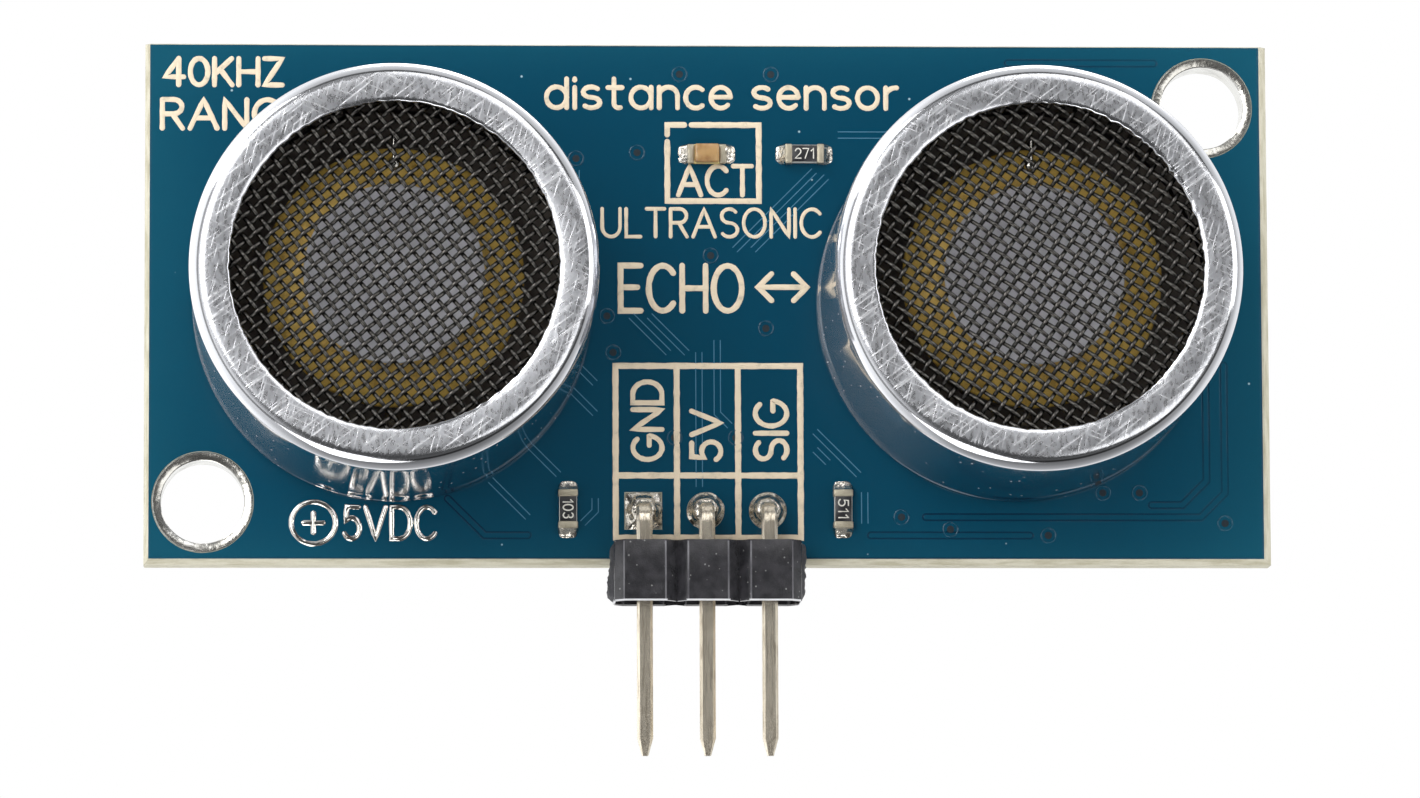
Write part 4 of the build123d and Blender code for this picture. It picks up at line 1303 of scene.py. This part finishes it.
@dataclass
class Legend:
    """The printed wording, boxes and marks; the words are plain ones for what the board does."""

    level: float = 0.034
    shift: float = 0.14

    def build(self) -> None:
        """Prints both faces."""
        self.front()
        self.tinned()
        self.rear()

    def text(self, form: Form, text: str, low: Flat, high: Flat, width: float, turned: bool = False,
             rise: float = 0.02) -> None:
        """Lays a word on the front between two corners, stroke by stroke."""
        ribbon = Ribbon(width, rise)
        half = width / 2
        low = (low[0] + self.shift + half, low[1] + half)
        high = (high[0] + self.shift - half, high[1] - half)
        for line in FONT.strokes(text, low, high, turned):
            ribbon.lay(form, line, self.level, Face.FRONT)

    def line(self, form: Form, points: Sequence[Flat], width: float, face: Face = Face.FRONT) -> None:
        """Lays a straight-run line on one face."""
        shifted = [(x + self.shift, z) for x, z in points]
        Ribbon(width).lay(form, shifted, self.level, face)

    def front(self) -> None:
        """Prints the front in cream ink."""
        form = Form()
        self.text(form, "40KHZ", (-22.3, 8.9), (-17.3, 10.2), 0.21)
        self.text(form, "RANGE", (-22.4, 7.1), (-16.3, 8.5), 0.21)
        self.text(form, "distance sensor", (-6.7, 8.0), (7.9, 9.4), 0.2)
        self.text(form, "ACT", (-1.3, 4.4), (1.9, 5.8), 0.2)
        self.text(form, "ULTRASONIC", (-4.4, 2.7), (4.7, 4.0), 0.15)
        self.text(form, "ECHO", (-3.7, -0.4), (1.5, 1.7), 0.24)
        self.text(form, "GND", (-3.2, -6.5), (-1.8, -3.1), 0.21, True)
        self.text(form, "5V", (-0.8, -6.5), (0.6, -4.3), 0.21, True)
        self.text(form, "SIG", (1.8, -6.5), (3.3, -3.9), 0.21, True)
        box = 0.24
        self.line(form, [(-0.95, 7.4), (-1.65, 7.4), (-1.65, 7.0)], box)
        self.line(form, [(-1.65, 6.7), (-1.65, 4.25), (2.1, 4.25), (2.1, 7.4), (-0.65, 7.4)], box)
        left, right, low, high, bar = -3.8, 3.75, -9.6, -2.55, 0.25
        self.line(form, [(left, low), (left, high), (right, high), (right, low), (left, low)], bar)
        self.line(form, [(left, -7.05), (right, -7.05)], bar)
        for x in (-1.3, 1.2):
            self.line(form, [(x, low), (x, high)], bar)
        middle, reach, head = 0.7, (2.05, 4.05), 0.55
        self.line(form, [(reach[0], middle), (reach[1], middle)], 0.22)
        self.line(form, [(reach[0] + head, middle + head), (reach[0], middle), (reach[0] + head, middle - head)], 0.22)
        self.line(form, [(reach[1] - head, middle + head), (reach[1], middle), (reach[1] - head, middle - head)], 0.22)
        made = form.piece("front_legend", [INK], 45.0)

    def tinned(self) -> None:
        """Lays the bare tinned marks at the lower left: a plus in a ring, and the supply voltage."""
        form = Form()
        ribbon = Ribbon(0.2, 0.05, 0.06)
        x, z, arm = -16.1 + self.shift, -9.0, 0.4
        ring = arc((x, z), (0.9, 0.86), 0, 360, 40)
        plus = [[(x - arm, z), (x + arm, z)], [(x, z - arm), (x, z + arm)]]
        for line in (ring, *plus):
            ribbon.lay(form, line, self.level, Face.FRONT)
        for line in FONT.strokes("5VDC", (-14.7, -9.65), (-11.0, -8.35)):
            ribbon.lay(form, line, self.level, Face.FRONT)
        made = form.piece("tinned_marks", [MARK], 60.0)

    def rear(self) -> None:
        """Prints the rear: part outlines, first-pin dots and polarity marks."""
        form = Form()
        for node, grow in (("controller_leads", 0.35), ("amplifier_leads", 0.35), ("driver_leads", 0.35),
                           ("smoothing_capacitor_tabs", 0.35), ("resonator_base", 0.35)):
            low, high = box_mm(node)
            corners = [(low.x - grow, low.z - grow), (high.x + grow, low.z - grow),
                       (high.x + grow, high.z + grow), (low.x - grow, high.z + grow)]
            Ribbon(0.16).lay(form, [*corners, corners[0]], self.level, Face.REAR)
        for node in ("controller_leads", "amplifier_leads", "driver_leads"):
            low, high = box_mm(node)
            dot = arc((high.x - 0.2, high.z + 0.75), (0.09, 0.09), 0, 360, 12)
            Ribbon(0.18).lay(form, dot, self.level, Face.REAR)
        low, high = box_mm("smoothing_capacitor_tabs")
        x, z = high.x + 0.75, high.z - 0.3
        for line in ([(x - 0.3, z), (x + 0.3, z)], [(x, z - 0.3), (x, z + 0.3)]):
            Ribbon(0.16).lay(form, line, self.level, Face.REAR)
        low, high = box_mm("rear_solder")
        for sign in (-1, 1):
            for z in (-1.45, 1.45):
                line = [(sign * 18.6 - 0.55, z), (sign * 18.6 + 0.55, z)]
                Ribbon(0.14).lay(form, line, self.level, Face.REAR)
        made = form.piece("rear_legend", [INK], 45.0)


# ---------------------------------------------------------------- header


@dataclass
class Header:
    """The bent pin header: housing, pins and solder joints."""

    chamfer: float = 0.42
    pitch: float = 2.54
    edge: float = 0.07
    stub_width: float = 1.2
    bend: float = 0.62
    side: float = 0.64
    point: float = 0.7
    point_depth: float = 0.19
    pins: tuple[str, ...] = ("ground_pin", "supply_pin", "signal_pin")
    seeds: tuple[float, ...] = (2.0, 5.5, 9.1)

    def build(self) -> None:
        """Builds the header's pieces."""
        low, high = box_mm("header_housing")
        self.low, self.high = low, high
        self.housing()
        for name in self.pins:
            self.pin(name)
        self.joints()

    def housing(self) -> None:
        """Moulds the notched block and the torn nibs where the strip was snapped, with a painted highlight on the side
        chamfers and a painted reflection on the underside.
        """
        low, high = self.low, self.high
        front, back = low.y, high.y
        half = self.pitch / 2
        fronts, backs = [], []
        for x in (-self.pitch, 0.0, self.pitch):
            fronts += [(x - half, front + self.chamfer), (x - half + self.chamfer, front),
                       (x + half - self.chamfer, front), (x + half, front + self.chamfer)]
            backs += [(x + half, back - self.chamfer), (x + half - self.chamfer, back),
                      (x - half + self.chamfer, back), (x - half, back - self.chamfer)]
        notch = 0.1
        plan = []
        for i, (x, y) in enumerate(fronts):
            if i % 4 == 3 and i + 1 < len(fronts):
                plan += [(x - notch / 2, y), (x, y + notch), (x + notch / 2, y)]
            elif i % 4 != 0 or i == 0:
                plan.append((x, y))
        rear = []
        for x in (self.pitch, 0.0, -self.pitch):
            rear += [(x + half, back - self.chamfer), (x + half - self.chamfer, back),
                     (x - half + self.chamfer, back), (x - half, back - self.chamfer)]
        for i, (x, y) in enumerate(rear):
            if i % 4 == 3 and i + 1 < len(rear):
                plan += [(x + notch / 2, y), (x, y - notch), (x - notch / 2, y)]
            elif i % 4 != 0 or i == 0:
                plan.append((x, y))
        made = bmesh.new()
        ring = [made.verts.new((x, y, low.z)) for x, y in plan]
        face = made.faces.new(ring)
        top = bmesh.ops.extrude_face_region(made, geom=[face])["geom"]
        for vertex in top:
            if isinstance(vertex, bmesh.types.BMVert):
                vertex.co.z = high.z
        bmesh.ops.recalc_face_normals(made, faces=made.faces[:])
        sharp = [e for e in made.edges if e.calc_face_angle(0) > 0.6 and e.calc_length() > 0.2]
        bmesh.ops.bevel(made, geom=sharp, offset=self.edge, segments=2, affect="EDGES", profile=0.6)
        form = Form()
        made.normal_update()
        made.verts.index_update()
        # The side chamfers take a lighter grey as a painted highlight, and the downward faces a near white as a
        # painted reflection.
        worn = [f for f in made.faces if 0.1 < abs(f.normal.x) < 0.66 and abs(f.normal.z) < 0.3]
        under = [f for f in made.faces if f.normal.z < -0.25]
        rest = [f for f in made.faces if f not in worn and f not in under]
        for faces, finish in ((rest, 0), (worn, 2), (under, 3)):
            form.add([v.co.copy() for v in made.verts], [[v.index for v in f.verts] for f in faces], finish)
        made.free()
        for sign, seed in ((-1, 3.0), (1, 8.0)):
            self.nib(form, sign, seed)
        piece = form.piece("header_block", [HOUSING, SNAPPED, CHAMFER_HIGHLIGHT_PLASTIC, UNDERSIDE_REFLECTION], 32.0)
        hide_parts("header_housing")

    def nib(self, form: Form, sign: int, seed: float) -> None:
        """Adds the torn plastic at one end: a lumpy patch with a drawn-out lip."""
        low, high = self.low, self.high
        root = sign * self.pitch * 1.5
        middle = (low.y + high.y) / 2
        rows = []
        down, across = 22, 12
        for i in range(down + 1):
            z = low.z + 0.03 + (high.z - low.z - 0.06) * i / down
            row = []
            for j in range(across + 1):
                u = 2 * j / across - 1
                v = 2 * i / down - 1
                y = middle + u * self.stub_width * 0.62
                hill = max(0.0, 1 - u ** 6) * max(0.0, 1 - v ** 10)
                torn = 0.5 + 0.5 * wobble(y * 2.2 + seed, z * 2.2, seed) + 0.35 * wobble(y * 7, z * 7, seed)
                lean = 0.35 + 0.65 * (0.5 - 0.5 * v if sign < 0 else 0.5 + 0.5 * v)
                swell = hill * (0.05 + 0.3 * torn * lean)
                row.append((root - sign * 0.08 + sign * (0.08 * hill + swell), y, z))
            rows.append(row)
        form.lattice(rows, finish=1)

    def pin(self, name: str) -> None:
        """Sweeps a square pin along its bend, with a blunt point at each end."""
        low, high = box_mm(name)
        x = (low.x + high.x) / 2
        half = self.side / 2
        row = high.z - half
        depth = low.y + half
        route = [(high.y, row, 0.0, self.point_depth), (high.y - self.point, row, 0.0, 0.0),
                 (depth + self.bend, row, 0.0, 0.0)]
        steps = 10
        for i in range(1, steps + 1):
            turn = math.pi / 2 * i / steps
            route.append((depth + self.bend * (1 - math.sin(turn)), row - self.bend * (1 - math.cos(turn)), turn, 0.0))
        route += [(depth, low.z + self.point, math.pi / 2, 0.0),
                  (depth, low.z, math.pi / 2, self.point_depth)]
        nick = 0.11
        rows = []
        for y, z, turn, inset in route:
            size = half - inset
            corner = nick * size / half
            ring = []
            for a, b in ((1, -1), (1, 1), (-1, 1), (-1, -1)):
                first, second = ((a, b * (size - corner) / size), (a * (size - corner) / size, b))
                ring += [first, second] if a * b > 0 else [second, first]
            row_points = []
            for u, v in ring:
                across, out = u * size, v * size
                row_points.append((x + across, y + out * -math.sin(turn), z + out * math.cos(turn)))
            rows.append(row_points)
        form = Form()
        form.lattice(rows, False, True)
        count = len(rows[0])
        form.faces.append((list(range(count)), 0))
        last = (len(rows) - 1) * count
        form.faces.append((list(range(last, last + count)), 0))
        made = form.piece(name.replace("_pin", "_pin_wire"), [PLATING], 30.0)
        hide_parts(name)

    def joints(self) -> None:
        """Flows the solder round each pin: a low, lumpy fillet in front and a cone behind."""
        low, high = box_mm("header_solder")
        pads, _ = box_mm("header_pads")
        row = (low.z + high.z) / 2
        form = Form()
        for name, seed in zip(self.pins, self.seeds):
            corner, far = box_mm(name)
            x = (corner.x + far.x) / 2
            square = name == "ground_pin"
            front = [(0.76, -0.03), (0.72, -0.07), (0.66, -0.12), (0.6, -0.2), (0.54, -0.3), (0.49, -0.39),
                     (0.44, -0.45), (0.36, -0.48), (0.3, -0.48)]
            rear = [(0.8, 1.65), (0.72, 1.72), (0.62, 1.86), (0.54, 2.06), (0.49, 2.28), (0.45, 2.42),
                    (0.4, 2.49), (0.3, 2.5)]

            def reach(angle: float, radius: float, depth: float, seed: float = seed,
                      square: bool = square) -> tuple[float, float]:
                """Lumps the solder, and spreads it to the corners of the square pad."""
                share = max(0.0, (radius - 0.4) / 0.4)
                lump = around(angle, 1.6, seed) * 0.09 + around(angle, 4.5, seed + 3) * 0.035
                if square and depth < 0.5:
                    wide = min(1.32, 1 / max(abs(math.cos(angle)), abs(math.sin(angle))))
                    radius *= 1 + (wide - 1) * share
                    lump *= 1.8
                return radius * (1 + lump * 0.5), depth + (-1 if depth < 0.5 else 1) * lump * 0.5 * (1.1 - share)

            for outline in (front, rear):
                form.lathe((x, row), outline, 48, closed=False, reach=reach)
        made = form.piece("pin_joints", [SOLDER], 70.0, outwards=True)
        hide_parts("header_solder")


# ---------------------------------------------------------------- small parts


@dataclass
class ChipPart:
    """A front chip part on its two pads: body, ends and solder."""

    node: str
    ends: str
    upright: bool = False
    code: str = ""
    end: float = 0.3
    seed: float = 1.0

    def __post_init__(self) -> None:
        """Reads the part's place from its packed ends."""
        self.low, self.high = box_mm(self.ends)
        self.centre = (self.low + self.high) / 2
        size = self.high - self.low
        self.length = size.z if self.upright else size.x
        self.width = size.x if self.upright else size.z
        self.height = -self.low.y

    def turned(self, form: Form, start: int = 0) -> None:
        """Turns what was built along X about the part's own place, where it stands upright."""
        def move(p: Vector) -> Vector:
            """Returns a point's final place."""
            x, z = (p.z, -p.x) if self.upright else (p.x, p.z)
            return Vector((x + self.centre.x, p.y, z + self.centre.z))
        form.shifted(move, start)

    def caps(self) -> bpy.types.Object:
        """Builds the tinned ends with rounded, slightly swollen edges."""
        form = Form()
        half, wide = self.length / 2, self.width / 2
        for sign in (-1, 1):
            a, b = sorted((sign * half, sign * (half - self.end)))
            form.block((a, -self.height, -wide), (b, -0.01, wide), 0.06, 3)
        form.shifted(lambda p: p + Vector((wobble(*(p * 5)) * 0.012, wobble(*(p * 4 + Vector((3, 3, 3)))) * 0.012, 0)))
        self.turned(form)
        made = form.piece(f"{self.node}_caps", [END_METAL], 40.0)
        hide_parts(self.ends)
        return made

    def body(self) -> bpy.types.Object:
        """Builds the ceramic body with its black glaze and white code."""
        form = Form()
        half, wide = self.length / 2 - 0.05, self.width / 2 - 0.04
        top = self.height - 0.07
        form.block((-half, -top, -wide), (half, -0.04, wide), 0.03, 2, 0)
        glaze = self.length / 2 - self.end + 0.02
        form.block((-glaze, -top - 0.045, -wide + 0.02), (glaze, -top + 0.02, wide - 0.02), 0.03, 2, 1)
        if self.code:
            level = top + 0.045
            ribbon = Ribbon(0.055, 0.008, 0.008)
            reach, tall = glaze - 0.14, 0.2
            lines = FONT.strokes(self.code, (-reach, -tall), (reach, tall))
            for line in lines:
                ribbon.lay(form, line, level, Face.FRONT, 2)
        self.turned(form)
        made = form.piece(f"{self.node}_body", [ALUMINA, GLAZE, CODE], 40.0)
        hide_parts(self.node)
        return made

    def fillets(self, form: Form) -> None:
        """Adds the solder at both ends: a concave, lumpy wedge from the pad up the end."""
        start = len(form.points)
        half, reach, rise = self.length / 2, 0.4, self.height * 0.85
        for sign in (-1, 1):
            rows = []
            for i in range(9):
                u = i / 8
                row = []
                for j in range(11):
                    v = 2 * j / 10 - 1
                    wide = self.width / 2 * (1.06 - 0.1 * u)
                    height = rise * (1 - u) ** 1.6 * (1 - 0.3 * v ** 4) + 0.05 * (1 - v ** 6)
                    lump = wobble(u * 3 + self.seed, v * 2, sign * 3.0) * 0.05 * (1 - v ** 4)
                    row.append((sign * (half - 0.04 + u * reach * (1 - 0.25 * v ** 4)), -max(0.0, height + lump),
                                v * wide))
                rows.append([(row[0][0], 0.0, row[0][2]), *row, (row[-1][0], 0.0, row[-1][2])])
            rows.append([(p[0] + sign * 0.02, 0.0, p[2]) for p in rows[-1]])
            form.lattice(rows)
        self.turned(form, start)


@dataclass
class FrontParts:
    """The lamp and the three chip resistors on the front."""

    lamp: ChipPart = field(default_factory=lambda: ChipPart("activity_led_base", "activity_led_ends", seed=4.0))
    resistors: list[ChipPart] = field(default_factory=lambda: [
        ChipPart("led_resistor", "led_resistor_ends", False, "271", seed=2.0),
        ChipPart("bias_resistor", "bias_resistor_ends", True, "103", seed=7.0),
        ChipPart("signal_resistor", "signal_resistor_ends", True, "511", seed=11.0)])

    def build(self) -> None:
        """Builds the parts and the solder that holds them."""
        self.light()
        solder = Form()
        for part in self.resistors:
            part.caps()
            part.body()
            part.fillets(solder)
        self.lamp.fillets(solder)
        made = solder.piece("front_fillets", [SOLDER], 60.0)
        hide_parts("front_solder")

    def light(self) -> None:
        """Builds the lamp: a resin block on a thin substrate between tinned ends."""
        self.lamp.caps()
        low, high = box_mm("activity_led_base")
        form = Form()
        form.block((low.x + 0.03, low.y, low.z), (high.x - 0.03, high.y, high.z), 0.03)
        base = form.piece("lamp_substrate", [LAMP_BASE], 40.0)
        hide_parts("activity_led_base")
        low, high = box_mm("activity_led_lens")
        form = Form()
        form.block((low.x, low.y, low.z + 0.02), (high.x, high.y, high.z - 0.02), 0.09, 4)
        lens = form.piece("lamp_lens", [LAMP_RESIN], 60.0)
        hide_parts("activity_led_lens")


@dataclass
class RearParts:
    """What is behind the board: the terminals' solder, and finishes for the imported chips."""

    finishes: dict[str, Finish] = field(default_factory=lambda: {
        "circuit_board": LAMINATE, "header_pads": TINNED, "capsule_pads": TINNED, "rear_solder": SOLDER,
        "rear_capacitors": DIELECTRIC, "rear_capacitor_ends": TINNED, "rear_resistors": GLAZE,
        "rear_resistor_ends": TINNED, "controller_chip": EPOXY, "amplifier_chip": EPOXY, "driver_chip": EPOXY,
        "switch_transistor": EPOXY, "controller_leads": TINNED, "amplifier_leads": TINNED,
        "driver_leads": TINNED, "switch_transistor_leads": TINNED, "resonator_base": RESONATOR,
        "resonator_cap": RESONATOR_LID, "resonator_terminals": TINNED, "smoothing_capacitor": TANTALUM,
        "smoothing_capacitor_tabs": TINNED,
    })
    capsule_finishes: dict[str, Finish] = field(default_factory=lambda: {
        "base": BASE_RESIN, "mount_ring": RUBBER, "crystal": PIEZO, "lead_wires": MARK, "terminals": TINNED,
    })

    def build(self) -> None:
        """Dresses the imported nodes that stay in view, and flows the terminals' solder."""
        named = dict(self.finishes)
        for side in ("transmitter", "receiver"):
            named |= {f"{side}_{part}": finish for part, finish in self.capsule_finishes.items()}
            self.cones(side)
        for node, finish in named.items():
            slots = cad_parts[node].material_slots
            for slot in slots:
                slot.material = finish.material()

    def cones(self, side: str) -> None:
        """Turns the solder cones on one capsule's terminals."""
        low, high = box_mm(f"{side}_solder")
        x = (low.x + high.x) / 2
        form = Form()
        outline = [(1.0, 1.65), (0.93, 1.7), (0.84, 1.79), (0.75, 1.93), (0.66, 2.13), (0.59, 2.37), (0.54, 2.6),
                   (0.5, 2.72), (0.44, 2.76), (0.35, 2.76)]
        for z in (-5.0, 5.0):
            def reach(angle: float, radius: float, depth: float, seed: float = x + z) -> tuple[float, float]:
                """Lumps the cone a little."""
                lump = around(angle, 1.3, seed) * 0.08
                return radius * (1 + lump * 0.6), depth + lump * 0.3 * (1 - radius)
            form.lathe((x, z), outline, 48, closed=False, reach=reach)
        made = form.piece(f"{side}_terminal_solder", [SOLDER], 70.0)
        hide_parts(f"{side}_solder")


# ---------------------------------------------------------------- studio


@dataclass
class Studio:
    """Camera, soft light and a pale floor."""

    eye: tuple[float, float, float] = (-14.86, -332.07, -43.56)
    yaw: float = -2.597
    pitch: float = 6.803
    roll: float = 0.233
    lens: float = 207.9

    def build(self) -> None:
        """Sets up everything that isn't the object."""
        self.camera()
        self.world()
        self.lights()
        self.floor()

    def camera(self) -> None:
        """Places the long-lens camera a little below and to the left."""
        turn = (Matrix.Rotation(math.radians(self.yaw), 3, "Z") @ Matrix.Rotation(math.radians(self.pitch), 3, "X")
                @ Matrix.Rotation(math.radians(self.roll), 3, "Y"))
        right, forward, up = turn.col
        data = bpy.data.cameras.new("camera")
        data.lens = self.lens
        data.sensor_width = 36.0
        data.clip_start, data.clip_end = 0.01, 5.0
        made = bpy.data.objects.new("camera", data)
        matrix = Matrix((right, up, -forward)).transposed().to_4x4()
        matrix.translation = Vector(self.eye) * MM
        made.matrix_world = matrix
        bpy.context.scene.collection.objects.link(made)
        bpy.context.scene.camera = made

    def world(self) -> None:
        """Makes a white surround that is dark straight in front of the board, so gloss stays deep."""
        world = bpy.data.worlds.new("surround")
        world.use_nodes = True
        bpy.context.scene.world = world
        graph = Graph(world.node_tree)
        graph.tree.nodes.clear()
        ray = graph.node("ShaderNodeNewGeometry").outputs["Position"]
        unit = graph.node("ShaderNodeVectorMath", {"operation": "NORMALIZE"}, {0: ray}).outputs[0]
        parts = graph.node("ShaderNodeSeparateXYZ", sockets={0: unit})
        x, y, z = (Value(graph, output) for output in parts.outputs)
        back = y.step(-0.95, -0.1) * 0.55 + y.step(-0.2, 0.5) * 0.5 + 0.08
        card = y.step(-0.64, -0.56) * y.step(-0.36, -0.44)
        glow = back + z.step(0.2, 0.9) * 0.15 + (x * -1).step(0.3, 0.7) * 0.8
        glow = glow * (1 - card * 0.8) * (1 - (z * -1).step(0.3, 0.9) * 0.6)
        seen = graph.node("ShaderNodeLightPath").outputs["Is Camera Ray"]
        dim = graph.node("ShaderNodeBackground", sockets={"Color": (0.98, 0.99, 1.0, 1.0), "Strength": glow})
        white = graph.node("ShaderNodeBackground", sockets={"Color": (1.0, 1.0, 1.0, 1.0), "Strength": 1.0})
        both = graph.node("ShaderNodeMixShader", sockets={0: seen, 1: dim.outputs[0], 2: white.outputs[0]})
        out = graph.node("ShaderNodeOutputWorld")
        graph.feed(out.inputs["Surface"], both.outputs[0])

    def lights(self) -> None:
        """Hangs the soft boxes: a key at the upper left, a fill at the right and a low one from below."""
        plan = (
            ("key_light", (-0.4, -0.3, 0.42), 0.26, 1.2),
            ("left_front_light", (-0.19, -0.38, 0.09), 0.22, 0.64),
            ("right_front_light", (0.22, -0.44, -0.12), 0.26, 0.35),
            ("upper_front_light", (0.14, -0.4, 0.3), 0.32, 0.55),
            ("fill_light", (0.48, -0.28, 0.12), 0.3, 0.7),
            ("low_light", (-0.15, -0.24, -0.45), 0.3, 0.8),
            ("rim_light", (0.1, 0.35, 0.5), 0.4, 2.0),
        )
        for name, at, size, power in plan:
            data = bpy.data.lights.new(name, "AREA")
            data.shape = "SQUARE"
            data.size = size
            data.energy = power
            made = bpy.data.objects.new(name, data)
            made.location = at
            made.rotation_euler = (Vector((0, 0, 0)) - Vector(at)).to_track_quat("-Z", "Y").to_euler()
            bpy.context.scene.collection.objects.link(made)

    def floor(self) -> None:
        """Lays a pale floor at the pin tips, seen only from above."""
        low, _ = box_mm("ground_pin")
        mesh = bpy.data.meshes.new("floor")
        reach = 0.6
        corners = [(-reach, -reach), (reach, -reach), (reach, reach), (-reach, reach)]
        mesh.from_pydata([(x, y, low.z * MM) for x, y in corners], [], [(0, 1, 2, 3)])
        sheet = Sheet("pale_floor")
        tint = sheet.mix(sheet.grain(0.05, 2.0), (0.86, 0.86, 0.86), (0.82, 0.82, 0.82))
        paper = sheet.node("ShaderNodeBsdfDiffuse", sockets={"Color": tint})
        clear = sheet.node("ShaderNodeBsdfTransparent")
        under = sheet.node("ShaderNodeNewGeometry").outputs["Backfacing"]
        both = sheet.node("ShaderNodeMixShader", sockets={0: under, 1: paper.outputs[0], 2: clear.outputs[0]})
        sheet.feed(sheet.output.inputs["Surface"], both.outputs[0])
        mesh.materials.append(sheet.material)
        made = bpy.data.objects.new("floor", mesh)
        made.visible_glossy = False
        bpy.context.scene.collection.objects.link(made)


def main() -> None:
    """Builds the sensor's pieces in order, then the studio."""
    logging.basicConfig(level=logging.INFO, format="%(message)s")
    bpy.context.scene.view_settings.view_transform = "Standard"
    Board().build()
    Legend().build()
    Capsule("transmitter", seed=1.0, screen_turn=39.5).build()
    Capsule("receiver", seed=6.0, screen_turn=-35.0, burred=(6.0, 66.0)).build()
    Header().build()
    FrontParts().build()
    RearParts().build()
    Studio().build()


if __name__ == "__main__":
    main()
